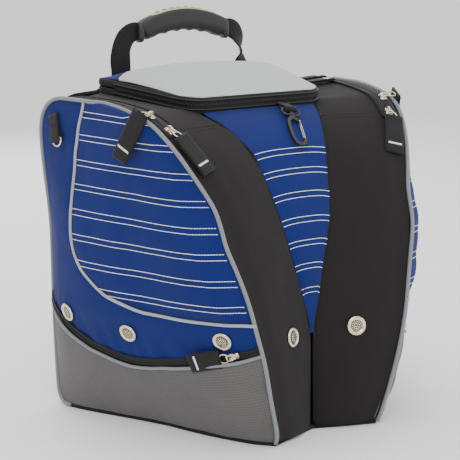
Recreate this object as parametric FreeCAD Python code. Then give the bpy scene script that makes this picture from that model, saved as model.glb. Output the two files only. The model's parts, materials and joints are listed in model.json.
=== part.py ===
import FreeCAD, Part
import math
import os

V = FreeCAD.Vector

# Ski boot bag: two boot pockets side by side, turned inwards at the toe, with a helmet pocket between them.
# Millimetres. +Z is up, the front (toes) faces -Y, the back panel faces +Y, and +X is the bag's own left side
# seen from behind. The origin is the middle of the base. Shapes are given for the +X half and mirrored.

# Driving dimensions
HALF_WIDTH = 213.0        # half of the greatest width, less the bulge of the padding
BULGE = 6.0
BULGE_RUN = 22.0          # the bulge is full this far behind the front seam
Y_WIDE = 95.0             # where the bag is widest
TAPER_LOW = 0.0066        # how fast it narrows away from there, at the base
TAPER_FALL = 0.0037       # and how much less so at TAPER_HEIGHT
TAPER_HEIGHT = 371.0
TAPER_POWER = 1.75
TUCK = 61.0               # how far the sides tuck in at the base, most at TUCK_Y
TUCK_Y = -10.0
TUCK_FRONT = 24.0         # less by this at the toe
TUCK_FRONT_RUN = 142.0
TUCK_BACK = 56.0          # and by this at the heel
TUCK_BACK_RUN = 165.0
TUCK_HEIGHT = 150.0       # the tuck ends at this height
TUCK_POWER = 1.6
TOP_TUCK = 12.0           # how far the sides fall in above the boots' cuffs
HEEL_TUCK = 9.0           # and towards the back corners
Y_BACK = 155.0            # inner face of the back panel
HEIGHT = 398.0            # top edge of the side panels
CLOTH = 3.0               # padded fabric wall
BASE_THICK = 4.0
CORNER_TOP = 50.0         # radius of a side panel's upper back corner
CORNER_LOW = 25.0         # radius of its lower back corner
PIPING = 4.4              # square section that holds the round edge piping
VALLEY_Y = -116.0         # where the two toe gussets meet in the middle
POCKET_DEPTH = 5.0        # how far the low pocket stands in front of the side panel
WEBBING = 1.8             # thickness of one layer of webbing
LID_FRONT_Y = -7.0
LID_FRONT_HALF = 107.0
LID_BACK_HALF = 131.0
LID_SEAM_FRONT_Z = 391.0  # parting line of the lid zip at the front
LID_SEAM_RISE = 0.085     # its slope, up towards the back
LID_HINGE_Y = 126.0       # fold line of the lid
HANDLE_Y = 160.0          # plane of the carry handle
HANDLE_PIVOT_Z = 424.0
HANDLE_LEG_X = 94.0

LID_CORNER = 24.0
LID_CREST_Z = 431.0
LID_SIDE_Z = 413.0
LID_ARCH_HALF = 160.0
LID_PROFILE = [(-60, 372), (-7, 401), (25, 414), (70, 425), (110, 430), (156, 424), (220, 400)]
BACK_THICK = 4.0
PAD_THICK = 10.0
STRAP_THICK = 9.0
PIPING_PROUD = 0.8        # how far it stands outside the seam line
EDGE_ROOM = 1.8           # room at the gusset's inner edge
PIPING_ROOM = 6.0         # room for the piping at its outer edge
PANEL_INSET = 5.2         # room for the piping round a side panel
POCKET_SKIN = 2.2
ZIP_BAND = 13.0
DIVIDER = 2.5
DIVIDER_START = 9.0       # behind the front seam
DIVIDER_BACK_X = 70.0
DIVIDER_TOP_X = 122.0
SIDE_COLUMNS = 8
FLAP_FRONT = (-8.0, 392.0)  # where the boot zip's fold line meets the top, and the back edge
FLAP_BACK = (151.0, 150.0)
FOLD_SHIFT = 19.5         # the fold axis stands outside its chord, on the bulged side
FOLD_GAP = 0.6
FLAP_NOTCH_Y = 136.0
FLAP_NOTCH_Z = 215.0
VENT_R = 12.5
VENT_STATION = 3.15
VENT_W = 62.0
SIDE_VENTS = [(-123, 132), (-6, 126), (94, 135)]
PIN_UP = 4.1              # height of a pull's pin over the track
PLATE_END = 16.5
TAB_WIDTH = 24.0
LID_TAB_WIDTH = 17.0      # the lid's two pulls lie side by side
TAB_THICK = 3.2
TRACK_TOP = 1.6
REAR_SLIDER = (11.0, 12.0)    # station along the gusset and distance from its edge
FRONT_SLIDER = (10.2, 15.5)
REAR_PULL_END = (-13.0, 338.0)
FRONT_PULL_END = (7.95, 20.0)
POCKET_SLIDER = (-132.0, 116.0)
POCKET_SLIDER_LIFT = 2.9
POCKET_PULL_END = (-82.0, 103.0)
PULL_LIFT = 9.0           # how far a pull's end stands off the side panel
REAR_PULL_RISE = 3.0      # and the rear one more, to clear the panel all along the zip
LID_PULL_LENGTH = 58.0
LID_PULL_RISE = 1.0
LID_SLIDERS = [("rear", 104.0), ("front", 82.0)]
RING_TAB_TOP = (121.0, 378.0)
RING_BAR = (112.0, 348.0)
RING_LIFT = 4.6
RING_R = 8.5
RING_WIRE = 1.3
HOOK_BAR = (30.0, -24.0, 374.0)
HOOK_AIM = (13.0, -72.0, 333.0)
HOOK_LIFT = 9.2
HOOK_PIN = 1.5
HOOK_HALF = 10.0
HOOK_LENGTH = 62.0
GRIP_END = 64.0
GRIP_DEPTH = 12.0
GRIP_Z = 482.5            # middle of the grip's axis
GRIP_ARCH = 13.5          # drop of the axis to its ends
GRIP_HALF = 14.5          # half height in the middle
GRIP_THINNING = 1.5
INLAY_HALF = 48.0
LEG_HALF = 14.0           # half width of a handle leg
LEG_THICK = 3.0
ANCHOR_LOW_Z = 386.0
LID_RIM_DEPTH = 7.2
LID_GAP = 0.3             # half of the gap at the lid's zip and at its fold
POCKET_ZIP_LIFT = 1.8
TRACK_W = (8.0, 22.0)     # where the boot zip's tape lies, from the gusset's outer edge
PAD_BOX = (16, 92, 70, 330)     # back pad: x and z
PAD_CORNER = 22
BUCKLE_HALF = 15.0
BUCKLE_SLOT = 4.5
LOOP_R = 3.0              # webbing loop round a D-ring's bar
HOOK_BODY_START = 12.5
HOOK_WIRE = 4.5

# Heights and stations, bottom to top
SIDE_HEIGHTS = [BASE_THICK + 0.5, 12, 25, 60, 105, 130, 160, 200, 250, 300, 340, 360, 376, 386, 391]
POCKET_HEIGHTS = [BASE_THICK + 0.5, 12, 25, 60, 95, 130, 150]
POCKET_ZIP_HEIGHTS = [60, 105, 130, 160]
POCKET_TOP = [(-175, 124), (-134, 108), (-74, 93), (-7, 83), (38, 89), (83, 103), (125, 124), (175, 150)]
GUSSET_HEIGHTS = [BASE_THICK + 0.5, 30, 75, 120, 165, 210, 255, 295, 325, 350, 366]
TOP_STATIONS = [((-38, 385), (90, 2, 384)), ((-6, 393), (100, 22, 386)), ((40, 398), (109, 52, 388)),
                ((90, 398), (119, 92, 391)), ((128, 391), (127, 126, 394)), ((146, 376), (131, 152, 396))]
PIPING_FRONT = [6, 30, 75, 120, 165, 210, 255, 295, 325, 350, 371, 385, 393, 398]
PIPING_TOP = [397.9, 395, 388, 376, 362, 348]
PIPING_BACK = [300, 250, 200, 150, 100, 60, 26]
PANEL_HEIGHTS = [133, 149, 206, 261, 316, 339, 353, 371, 379]
DIVIDER_HEIGHTS = [(BASE_THICK + 0.5, BASE_THICK + 0.5), (127, 140), (206, 220), (261, 275), (316, 330),
                   (339, 350), (353, 366), (371, 385)]
BASE_ROWS = [-146, -120, -85, -45, 0, 50, 95, 130]
BACK_ROWS = [BASE_THICK + 0.5, 25, 60, 120, 200, 270, 340, 362]
STRAP_STATIONS = [(120, 118, 17, 2), (150, 112, 24, 7), (210, 98, 31, 10), (280, 80, 31, 10), (330, 66, 27, 5),
                  (352, 60, 20, 0)]

# Edge curves, bottom to top: (height, distance forward) and (height, x, y)
FRONT_EDGE = [(0, -146), (14, -153), (60, -158), (120, -160), (200, -148), (280, -123), (340, -90),
              (371, -62), (385, -38), (393, -6), (398, 30)]
INNER_EDGE = [(0, 3, -118), (127, 3, -116), (149, 8, -115), (206, 23, -109), (261, 38, -101),
              (316, 50, -80), (339, 56, -69), (353, 64, -55), (371, 76, -33), (382, 86, -7)]


def lerp_table(table, z):
    """Straight-line interpolation in rows that start with the height."""
    if z <= table[0][0]:
        return table[0][1:]
    for low, high in zip(table, table[1:]):
        if z <= high[0]:
            t = (z - low[0]) / (high[0] - low[0])
            return tuple(a + (b - a) * t for a, b in zip(low[1:], high[1:]))
    return table[-1][1:]


def smooth(t):
    t = min(1.0, max(0.0, t))
    return t * t * (3 - 2 * t)


def front_y(z):
    return lerp_table(FRONT_EDGE, z)[0]


def back_y(z, inset):
    """Back outline of a side panel, with its two round corners, inset from the seam."""
    limit = Y_BACK - inset
    drop = CORNER_LOW - z
    rise = z - (HEIGHT - inset - CORNER_TOP)
    if drop > 0:
        return limit - CORNER_LOW + math.sqrt(max(0.0, CORNER_LOW ** 2 - drop ** 2))
    if rise > 0:
        return limit - CORNER_TOP + math.sqrt(max(0.0, CORNER_TOP ** 2 - rise ** 2))
    return limit


def side_x(y, z):
    """Half width of the bag at (y, z): bulged sides, tucked in under the boots and at the top."""
    slope = TAPER_LOW - TAPER_FALL * (z / TAPER_HEIGHT) ** 2.5
    x = HALF_WIDTH - slope * abs(Y_WIDE - y) ** TAPER_POWER
    if y > TUCK_Y:
        base_tuck = TUCK - TUCK_BACK * ((y - TUCK_Y) / TUCK_BACK_RUN) ** 2
    else:
        base_tuck = TUCK - TUCK_FRONT * (TUCK_Y - y) / TUCK_FRONT_RUN
    x -= base_tuck * max(0.0, (TUCK_HEIGHT - z) / TUCK_HEIGHT) ** TUCK_POWER
    x -= TOP_TUCK * smooth((z - 235) / 60.0) * (1 - smooth((y - 60) / 95.0))
    x -= HEEL_TUCK * max(0.0, (y - 110) / 45.0) ** 2 * (1 - smooth((z - 220) / 130.0))
    x += BULGE * smooth((y - front_y(z)) / BULGE_RUN)
    return x


def outer_point(y, z):
    return V(side_x(y, z), y, z)


def ruled_loft(rows):
    """Solid through four-cornered sections, straight between them."""
    wires = [Part.makePolygon(corners + corners[:1]) for corners in rows]
    return Part.makeLoft(wires, True, True)


def mirror(shape):
    return shape.mirror(V(0, 0, 0), V(1, 0, 0))


def curve_section(outer, inner):
    """Closed flat section between two rows of points, each row one smooth curve."""
    out_curve = Part.BSplineCurve()
    out_curve.interpolate(outer)
    in_curve = Part.BSplineCurve()
    in_curve.interpolate(inner)
    edges = [out_curve.toShape(), Part.makeLine(outer[-1], inner[-1]),
             in_curve.toShape(), Part.makeLine(inner[0], outer[0])]
    return Part.Wire(Part.__sortEdges__(edges))


def side_wall(heights, offset, thickness, inset):
    """Side wall through sections at these heights. offset(z) sets its outer face in from the bag's outline."""
    wires = []
    for z in heights:
        y0 = front_y(z) + inset
        y1 = back_y(z, inset)
        outer = []
        inner = []
        for k in range(SIDE_COLUMNS + 1):
            y = y0 + (y1 - y0) * k / SIDE_COLUMNS
            x = side_x(y, z) - offset(z)
            outer.append(V(x, y, z))
            inner.append(V(x - thickness, y, z))
        wires.append(curve_section(outer, inner))
    return Part.makeLoft(wires, True, True)


def unit(v):
    return v * (1.0 / v.Length)


def gusset_pairs():
    """Outer and inner edge points of the gusset, from the toe up the front and over the top to the back."""
    pairs = []
    for z in GUSSET_HEIGHTS:
        y = front_y(z)
        x_in, y_in = lerp_table(INNER_EDGE, z)
        pairs.append((outer_point(y, z), V(x_in, y_in, z)))
    for outer, inner in TOP_STATIONS:
        pairs.append((outer_point(*outer), V(*inner)))
    return pairs


def gusset_normal(pairs, i):
    """Normal of the gusset at a station, pointing out of the bag."""
    before = pairs[max(0, i - 1)]
    after = pairs[min(len(pairs) - 1, i + 1)]
    along = (after[0] + after[1]) - (before[0] + before[1])
    outer, inner = pairs[i]
    n = unit((inner - outer).cross(along))
    return n if n.z - n.y > 0 else n * -1


def gusset_strip(w_out, w_in, lift, thickness, first=0):
    """Strip of the gusset from w_out inside its outer edge to w_in (counted from the inner edge if it is
    negative), with its outer face lifted off the gusset's own face."""
    pairs = gusset_pairs()
    rows = []
    for i in range(first, len(pairs)):
        outer, inner = pairs[i]
        across = unit(inner - outer)
        n = gusset_normal(pairs, i)
        a = outer + across * w_out
        b = (inner + across * w_in) if w_in <= 0 else (outer + across * w_in)
        corners = [a + n * lift, b + n * lift, b + n * (lift - thickness), a + n * (lift - thickness)]
        rows.append(corners)
    return ruled_loft(rows)


def gusset_point(i, w, lift):
    """Point w inside the gusset's outer edge and lift above its face, at station i, which may be a fraction."""
    pairs = gusset_pairs()
    k = min(int(i), len(pairs) - 2)
    ends = []
    for j in (k, k + 1):
        outer, inner = pairs[j]
        ends.append(outer + unit(inner - outer) * w + gusset_normal(pairs, j) * lift)
    return ends[0] + (ends[1] - ends[0]) * (i - k)


def gusset_frame(i, w, lift):
    """Origin, direction along the strip towards the back, and outward normal at a place on the gusset."""
    origin = gusset_point(i, w, lift)
    along = unit(gusset_point(i + 0.3, w, lift) - gusset_point(i - 0.3, w, lift))
    normal = gusset_point(i, w, lift + 1) - origin
    return origin, along, unit(normal)


def side_frame(y, z, lift):
    """Origin, outward normal, backward and upward tangents at a place on the side."""
    offset = pocket_inset(z)
    origin = outer_point(y, z) - V(offset, 0, 0)
    back = unit(outer_point(y + 3, z) - outer_point(y - 3, z))
    up = unit(outer_point(y, z + 3) - V(pocket_inset(z + 3), 0, 0)
              - outer_point(y, z - 3) + V(pocket_inset(z - 3), 0, 0))
    normal = unit(back.cross(up))
    if normal.x < 0:
        normal = normal * -1
    return origin + normal * lift, normal, back, up


def placed(shape, origin, x_axis, z_hint):
    """Shape moved from its own frame to origin, with its X along x_axis and its Z near z_hint."""
    x = unit(x_axis)
    z = unit(z_hint - x * x.dot(z_hint))
    y = z.cross(x)
    moved = shape.copy()
    moved.Placement = FreeCAD.Placement(origin, FreeCAD.Rotation(x, y, z, "XYZ"))
    return moved


def box(x0, x1, y0, y1, z0, z1):
    return Part.makeBox(x1 - x0, y1 - y0, z1 - z0, V(x0, y0, z0))


def cylinder(radius, start, end):
    return Part.makeCylinder(radius, (end - start).Length, start, end - start)


def pocket_inset(z):
    """The side panel steps in behind the low pocket."""
    return POCKET_DEPTH * smooth((150 - z) / 38.0)


# ---- sewn shell -------------------------------------------------------------------------------------------

def largest(shape):
    """The biggest solid of a shape, without the crumbs of a cut."""
    return max(shape.Solids, key=lambda solid: solid.Volume)


def gusset():
    under_lid = lid_plan(-0.4).common(between(-7.8, 80))
    return largest(gusset_strip(PIPING_ROOM, -EDGE_ROOM, 0.0, CLOTH).cut(under_lid))


def side_panel():
    return largest(side_wall(SIDE_HEIGHTS, pocket_inset, CLOTH, PANEL_INSET).cut(piping(PIPING + 0.8)))


def pocket():
    """Low zipped pocket: a skin over the side panel, dipping in the middle of its top edge."""
    skin = side_wall(POCKET_HEIGHTS, lambda z: 0.0, POCKET_SKIN, PANEL_INSET)
    return largest(skin.common(under_curve(POCKET_TOP)).cut(piping(PIPING + 0.8)))


def under_curve(points):
    """Everything below a curve of (y, z) points, as a tool for cutting."""
    top = Part.BSplineCurve()
    top.interpolate([V(0, y, z) for y, z in points])
    start = V(0, points[0][0], -50)
    end = V(0, points[-1][0], -50)
    wire = Part.Wire([Part.makeLine(start, V(0, *points[0])), top.toShape(),
                      Part.makeLine(V(0, *points[-1]), end), Part.makeLine(end, start)])
    return Part.Face(wire).extrude(V(300, 0, 0))


def pocket_zipper():
    """Zip band along the top of the pocket, lying on the side panel."""
    band = side_wall(POCKET_ZIP_HEIGHTS, lambda z: pocket_inset(z) - POCKET_ZIP_LIFT, 1.2, PANEL_INSET + 4)
    lower = under_curve([(y, z + 2.0) for y, z in POCKET_TOP])
    upper = under_curve([(y, z + ZIP_BAND) for y, z in POCKET_TOP])
    return band.common(upper).cut(lower)


def outline_points():
    """Seam line round a side panel, from its low front corner over the top to its low back corner."""
    points = [(front_y(z), z) for z in PIPING_FRONT]
    points += [(back_y(z, 0), z) for z in PIPING_TOP]
    points += [(Y_BACK, z) for z in PIPING_BACK]
    return points


def piping(size=PIPING):
    """Edge piping in the seam between the side panel and the gusset."""
    points = [outer_point(y, z) for y, z in outline_points()]
    half = size / 2.0
    rows = []
    for i, p in enumerate(points):
        along = unit(points[min(i + 1, len(points) - 1)] - points[max(i - 1, 0)])
        edge = unit(along.cross(V(1, 0, 0)))
        centre = p + edge * (PIPING / 2.0 - PIPING_PROUD)
        face = unit(edge.cross(along))
        square = ((1, 1), (1, -1), (-1, -1), (-1, 1))
        corners = [centre + edge * (half * a) + face * (half * b) for a, b in square]
        rows.append(corners)
    return ruled_loft(rows)


def fold_frame():
    """Fold line of a boot flap: a point on it, its direction, outwards and towards the flap."""
    start = outer_point(*FLAP_FRONT)
    end = outer_point(*FLAP_BACK)
    along = unit(end - start)
    outwards = unit(V(1, 0, 0) - along * along.x)
    to_flap = unit(along.cross(outwards))
    if to_flap.z < 0:
        to_flap = to_flap * -1
    middle = (start + end) * 0.5 + outwards * FOLD_SHIFT
    return middle, along, outwards, to_flap


def fold_block(gap, flap_side):
    middle, along, _, to_flap = fold_frame()
    size = 500.0
    block = box(-size, size, -size, size, gap, size)
    z = to_flap if flap_side else to_flap * -1
    return placed(block, middle, along, z)


def flap_part(shape):
    corner = box(0, 300, FLAP_NOTCH_Y, 300, 0, FLAP_NOTCH_Z)
    back = box(0, 300, Y_BACK - 0.5, 300, 0, 500)
    return shape.common(fold_block(FOLD_GAP, True)).cut(corner).cut(back)


def fixed_part(shape):
    return shape.common(fold_block(0.3, False))


def front_panel():
    """Middle front panel, between the two gussets' inner edges."""
    rows = []
    for z in PANEL_HEIGHTS:
        x, y = lerp_table(INNER_EDGE, z)
        x -= EDGE_ROOM
        up = unit(V(0, lerp_table(INNER_EDGE, z + 6)[1] - lerp_table(INNER_EDGE, z - 6)[1], 12))
        back = V(0, up.z, -up.y) * CLOTH
        corners = [V(-x, y, z), V(x, y, z), V(x, y, z) + back, V(-x, y, z) + back]
        rows.append(corners)
    return ruled_loft(rows)


def divider():
    """Wall between a boot pocket and the helmet pocket, from behind the front seam to the back panel."""
    rows = []
    for z, z_back in DIVIDER_HEIGHTS:
        x, y = lerp_table(INNER_EDGE, z)
        y += DIVIDER_START
        x_back = DIVIDER_BACK_X + (DIVIDER_TOP_X - DIVIDER_BACK_X) * z_back / HEIGHT
        y_back = Y_BACK - 0.5
        corners = [V(x + 1, y, z), V(x + 1 + DIVIDER, y, z),
                   V(x_back + DIVIDER, y_back, z_back), V(x_back, y_back, z_back)]
        rows.append(corners)
    return ruled_loft(rows)


def base_panel():
    half = [V(0, VALLEY_Y - 2, 0)]
    for y in BASE_ROWS:
        half.append(outer_point(y, 0))
    half.append(V(side_x(Y_BACK - CORNER_LOW, 0) - 8, Y_BACK, 0))
    other = [V(-p.x, p.y, 0) for p in reversed(half[1:])]
    face = Part.Face(Part.makePolygon(half + other + half[:1]))
    return face.extrude(V(0, 0, BASE_THICK))


def back_panel():
    """Stiff back wall, with a raised middle behind the lid."""
    points = [V(0, 0, BASE_THICK + 0.5)]
    for z in BACK_ROWS:
        points.append(V(side_x(Y_BACK, z) - 3, 0, z))
    points += [V(196, 0, 381), V(166, 0, 394), V(LID_BACK_HALF, 0, 397), V(LID_BACK_HALF - 3, 0, 412),
               V(0, 0, 416)]
    other = [V(-p.x, 0, p.z) for p in reversed(points[1:-1])]
    face = Part.Face(Part.makePolygon(points + other + points[:1]))
    wall = face.extrude(V(0, BACK_THICK, 0))
    wall.translate(V(0, Y_BACK + 0.4, 0))
    return wall


def rounded_pad(x0, x1, z0, z1, y0, y1, radius):
    pad = box(x0, x1, y0, y1, z0, z1)
    upright = [e for e in pad.Edges if abs(e.tangentAt(e.FirstParameter).y) > 0.9]
    return pad.makeFillet(radius, upright)


def back_pads():
    y0 = Y_BACK + BACK_THICK + 0.8
    x0, x1, z0, z1 = PAD_BOX
    pad = rounded_pad(x0, x1, z0, z1, y0, y0 + PAD_THICK, PAD_CORNER)
    return Part.makeCompound([pad, mirror(pad)])


def shoulder_strap():
    """Padded strap from the top of the back down to the foot, bowed clear of the pads."""
    y0 = Y_BACK + BACK_THICK + PAD_THICK + 1.6
    rows = []
    for z, x, half, bow in STRAP_STATIONS:
        y = y0 + bow
        corners = [V(x - half, y, z), V(x + half, y, z), V(x + half, y + STRAP_THICK, z),
                   V(x - half, y + STRAP_THICK, z)]
        rows.append(corners)
    pad = ruled_loft(rows)
    top_z, top_x, _, top_bow = STRAP_STATIONS[-1]
    anchor = box(top_x - 14, top_x + 14, Y_BACK + BACK_THICK + 0.6, y0 + top_bow + STRAP_THICK,
                 top_z + 0.1, top_z + 14)
    return Part.makeCompound([pad, anchor])


def strap_webbing():
    """Flat webbing from the buckle to the low corner of the back."""
    low_z, low_x, _, low_bow = STRAP_STATIONS[0]
    y_top = Y_BACK + BACK_THICK + PAD_THICK + 1.6 + low_bow
    y_low = Y_BACK + BACK_THICK + 0.8
    top = V(low_x, y_top + 1.5, low_z - 27)
    low = V(low_x + 55, y_low + 1, 26)
    return placed(box(0, (low - top).Length, -10, 10, 0, WEBBING), top, low - top, V(0, 1, 0))


def ladder_buckle():
    """Ladder lock: a frame with two slots for the webbing."""
    low_z, low_x, _, low_bow = STRAP_STATIONS[0]
    y = Y_BACK + BACK_THICK + PAD_THICK + 1.6 + low_bow
    frame = box(low_x - BUCKLE_HALF, low_x + BUCKLE_HALF, y, y + 5, low_z - 21, low_z - 1)
    for z in (low_z - 8, low_z - 17):
        frame = frame.cut(box(low_x - 11, low_x + 11, y - 1, y + 6, z, z + BUCKLE_SLOT))
    return frame


# ---- lid --------------------------------------------------------------------------------------------------

def lid_plan(inset):
    """Plan of the lid: straight front, round front corners, sides that widen to the back."""
    front = LID_FRONT_Y + inset
    back = Y_BACK - inset - 0.3
    f = LID_FRONT_HALF - inset
    b = LID_BACK_HALF - inset
    outline = [V(-f + LID_CORNER, front, 0), V(f - LID_CORNER, front, 0), V(f, front + LID_CORNER, 0),
               V(b, back, 0), V(-b, back, 0), V(-f, front + LID_CORNER, 0)]
    k = LID_CORNER * 0.3
    right = Part.Arc(outline[1], V(f - k, front + k, 0), outline[2]).toShape()
    left = Part.Arc(outline[5], V(-f + k, front + k, 0), outline[0]).toShape()
    edges = [Part.makeLine(outline[0], outline[1]), right, Part.makeLine(outline[2], outline[3]),
             Part.makeLine(outline[3], outline[4]), Part.makeLine(outline[4], outline[5]), left]
    face = Part.Face(Part.Wire(edges))
    face.translate(V(0, 0, 360))
    return face.extrude(V(0, 0, 120))


def lid_seam(y):
    return LID_SEAM_FRONT_Z + LID_SEAM_RISE * (y - LID_FRONT_Y)


def between(z_low, z_high):
    """Slanted layer between two offsets from the lid's parting line."""
    y0, y1 = -60.0, 220.0
    corners = [V(-300, y0, lid_seam(y0) + z_low), V(-300, y1, lid_seam(y1) + z_low),
               V(-300, y1, lid_seam(y1) + z_high), V(-300, y0, lid_seam(y0) + z_high)]
    return Part.Face(Part.makePolygon(corners + corners[:1])).extrude(V(600, 0, 0))


def lid_rim():
    ring = lid_plan(0).cut(lid_plan(CLOTH))
    return ring.common(between(-LID_RIM_DEPTH, -LID_GAP))


def lid_crown(inset):
    """Lid as a full body: its plan, under a crest that falls to the front and to the sides."""
    y0, y1 = LID_PROFILE[0][0], LID_PROFILE[-1][0]
    floor = 300
    crest = Part.BSplineCurve()
    crest.interpolate([V(-300, y, z - inset) for y, z in LID_PROFILE])
    corners = [V(-300, y1, LID_PROFILE[-1][1] - inset), V(-300, y1, floor), V(-300, y0, floor),
               V(-300, y0, LID_PROFILE[0][1] - inset)]
    lines = [Part.makeLine(a, b) for a, b in zip(corners, corners[1:])]
    along = Part.Face(Part.Wire([crest.toShape()] + lines)).extrude(V(600, 0, 0))
    x = LID_ARCH_HALF
    corners = [V(x, y0, LID_SIDE_Z - inset), V(x, y0, floor), V(-x, y0, floor), V(-x, y0, LID_SIDE_Z - inset)]
    arch = Part.Arc(corners[3], V(0, y0, LID_CREST_Z - inset), corners[0]).toShape()
    lines = [Part.makeLine(a, b) for a, b in zip(corners, corners[1:])]
    across = Part.Face(Part.Wire([arch] + lines)).extrude(V(0, 300, 0))
    return lid_plan(inset).common(along).common(across)


def lid_shell():
    shell = lid_crown(0).cut(lid_crown(CLOTH))
    return shell.common(between(LID_GAP, 80))


def lid():
    return lid_shell().common(box(-200, 200, -100, LID_HINGE_Y - LID_GAP, 300, 500))


def lid_rear():
    return lid_shell().common(box(-200, 200, LID_HINGE_Y + LID_GAP, 300, 300, 500))


# ---- hardware ---------------------------------------------------------------------------------------------

def vent(origin, normal):
    """Eyelet vent: a rolled rim round a sunken perforated disc."""
    rim = cylinder(VENT_R, origin, origin + normal * 1.6)
    hollow = cylinder(VENT_R - 4.5, origin + normal * 0.8, origin + normal * 3)
    return rim.cut(hollow)


def vents():
    discs = []
    origin, _, normal = gusset_frame(VENT_STATION, VENT_W, 0.6)
    discs.append(vent(origin, normal))
    for y, z in SIDE_VENTS:
        origin, normal, _, _ = side_frame(y, z, 1.0)
        discs.append(vent(origin, normal))
    return Part.makeCompound(discs)


def slider(origin, track, normal, pull_dir):
    """Zip slider: a body on the track and an arch that holds the pull's pin."""
    body = box(-6.5, 6.5, -4.2, 4.2, 0, 2.6)
    parts = placed(body, origin, track, normal)
    arch = box(-3.6, 3.6, -1.2, 1.2, 2.6, 6.6).cut(box(-2.3, 2.3, -2, 2, 2.6, 5.5))
    return parts.fuse(placed(arch, origin, pull_dir, normal))


def pull(origin, pull_dir, normal, end, tab_normal=None, width=TAB_WIDTH):
    """Metal link on a pin through the slider's arch, and a folded webbing tab that ends near end."""
    metal = cylinder(0.8, V(0, -3, PIN_UP), V(0, 3, PIN_UP))
    for y in (-3.0, 1.7):
        metal = metal.fuse(box(-0.8, 8, y, y + 1.3, PIN_UP - 0.7, PIN_UP + 0.7))
    metal = metal.fuse(box(6.5, PLATE_END, -5, 5, PIN_UP - 0.7, PIN_UP + 0.7))
    metal = placed(metal, origin, pull_dir, normal)
    x = unit(pull_dir)
    n = unit(normal - x * x.dot(normal))
    start = origin + x * (PLATE_END + 2.6) + n * PIN_UP
    tab = box(0, (end - start).Length, -width / 2, width / 2, -TAB_THICK / 2, TAB_THICK / 2)
    return Part.makeCompound([metal, placed(tab, start, end - start, tab_normal or n)])


def boot_slider_frames():
    """Rear and front boot sliders: place, track direction, normal, pull direction and the pull's end."""
    frames = []
    origin, along, normal = gusset_frame(REAR_SLIDER[0], REAR_SLIDER[1], TRACK_TOP)
    outward = unit(normal.cross(along))
    if outward.x < 0:
        outward = outward * -1
    end, end_normal, _, _ = side_frame(REAR_PULL_END[0], REAR_PULL_END[1], PULL_LIFT + REAR_PULL_RISE)
    frames.append((origin, along, normal, outward, end, end_normal))
    origin, along, normal = gusset_frame(FRONT_SLIDER[0], FRONT_SLIDER[1], TRACK_TOP)
    end = gusset_point(FRONT_PULL_END[0], FRONT_PULL_END[1], 7.0)
    frames.append((origin, along, normal, along * -1, end, normal))
    return frames


def zipper_track():
    """Tape and teeth of a boot zip, beside the piping from the cross seam to the back."""
    return gusset_strip(TRACK_W[0], TRACK_W[1], TRACK_TOP - 0.4, 0.9, first=len(GUSSET_HEIGHTS) - 1)


def pocket_slider_frame():
    y, z = POCKET_SLIDER
    origin, normal, _, _ = side_frame(y, z, POCKET_SLIDER_LIFT)
    along = unit(side_frame(y + 40, z - 9, POCKET_SLIDER_LIFT)[0] - origin)
    end = side_frame(POCKET_PULL_END[0], POCKET_PULL_END[1], PULL_LIFT)[0]
    return origin, along, normal, end


def lid_slider_frame(y):
    """Place on the lid zip's right-hand side, with the direction of the zip."""
    f = V(LID_FRONT_HALF, LID_FRONT_Y + LID_CORNER, 0)
    b = V(LID_BACK_HALF, Y_BACK, 0)
    t = (y - f.y) / (b.y - f.y)
    x = f.x + (b.x - f.x) * t
    normal = unit(V(b.y - f.y, f.x - b.x, 0))
    along = unit(V(b.x - f.x, b.y - f.y, LID_SEAM_RISE * (b.y - f.y)))
    return V(x, y, lid_seam(y)) + normal * 0.7, along, normal


def ring_tab():
    """Webbing tab that holds the D-ring, with a loop round the ring's bar."""
    top, normal, _, _ = side_frame(RING_TAB_TOP[0], RING_TAB_TOP[1], 1.2)
    bar = side_frame(RING_BAR[0], RING_BAR[1], RING_LIFT)[0]
    down = unit(bar - top)
    strap = placed(box(0, (bar - top).Length - 4.2, -9, 9, -WEBBING / 2, WEBBING / 2), top + normal * 0.6,
                   bar - top, normal)
    across = unit(down.cross(normal))
    loop = cylinder(LOOP_R, bar - across * 5, bar + across * 5)
    loop = loop.cut(cylinder(1.6, bar - across * 6, bar + across * 6))
    return Part.makeCompound([strap, loop])


def d_ring():
    """D-ring: a straight bar in the tab's loop and a half round that hangs below it."""
    top = side_frame(RING_TAB_TOP[0], RING_TAB_TOP[1], 1.2)[0]
    bar, bar_normal, _, _ = side_frame(RING_BAR[0], RING_BAR[1], RING_LIFT)
    wire = RING_WIRE
    half = RING_R
    straight = cylinder(wire, V(0, -half, 0), V(0, half, 0))
    bow = Part.makeTorus(half, wire, V(0, 0, 0), V(0, 0, 1), -180, 180, 180)
    bow.rotate(V(0, 0, 0), V(0, 0, 1), -90)
    ring = straight.fuse(bow)
    for y in (-half, half):
        ring = ring.fuse(Part.makeSphere(wire, V(0, y, 0)))
    return placed(ring, bar, bar - top, bar_normal)


def hook_frame():
    """Bar of the snap hook's eye: place, hanging direction and outward normal of the front panel."""
    x, y, z = HOOK_BAR
    down = V(*HOOK_AIM) - V(x, y, z)
    normal = unit(V(0, down.z, -down.y))
    down = unit(down - normal * down.dot(normal))
    return V(x, y, z) + normal * HOOK_LIFT, down, normal


def hook_tab():
    """Webbing from under the lid's rim to the hook's eye."""
    bar, down, normal = hook_frame()
    strap = placed(box(-13, -3.6, -8, 8, -WEBBING - 0.4, -0.4), bar, down, normal)
    across = unit(normal.cross(down))
    loop = cylinder(3.2, bar - across * 8, bar + across * 8).cut(
        cylinder(1.7, bar - across * 9, bar + across * 9))
    return Part.makeCompound([strap, loop])


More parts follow.
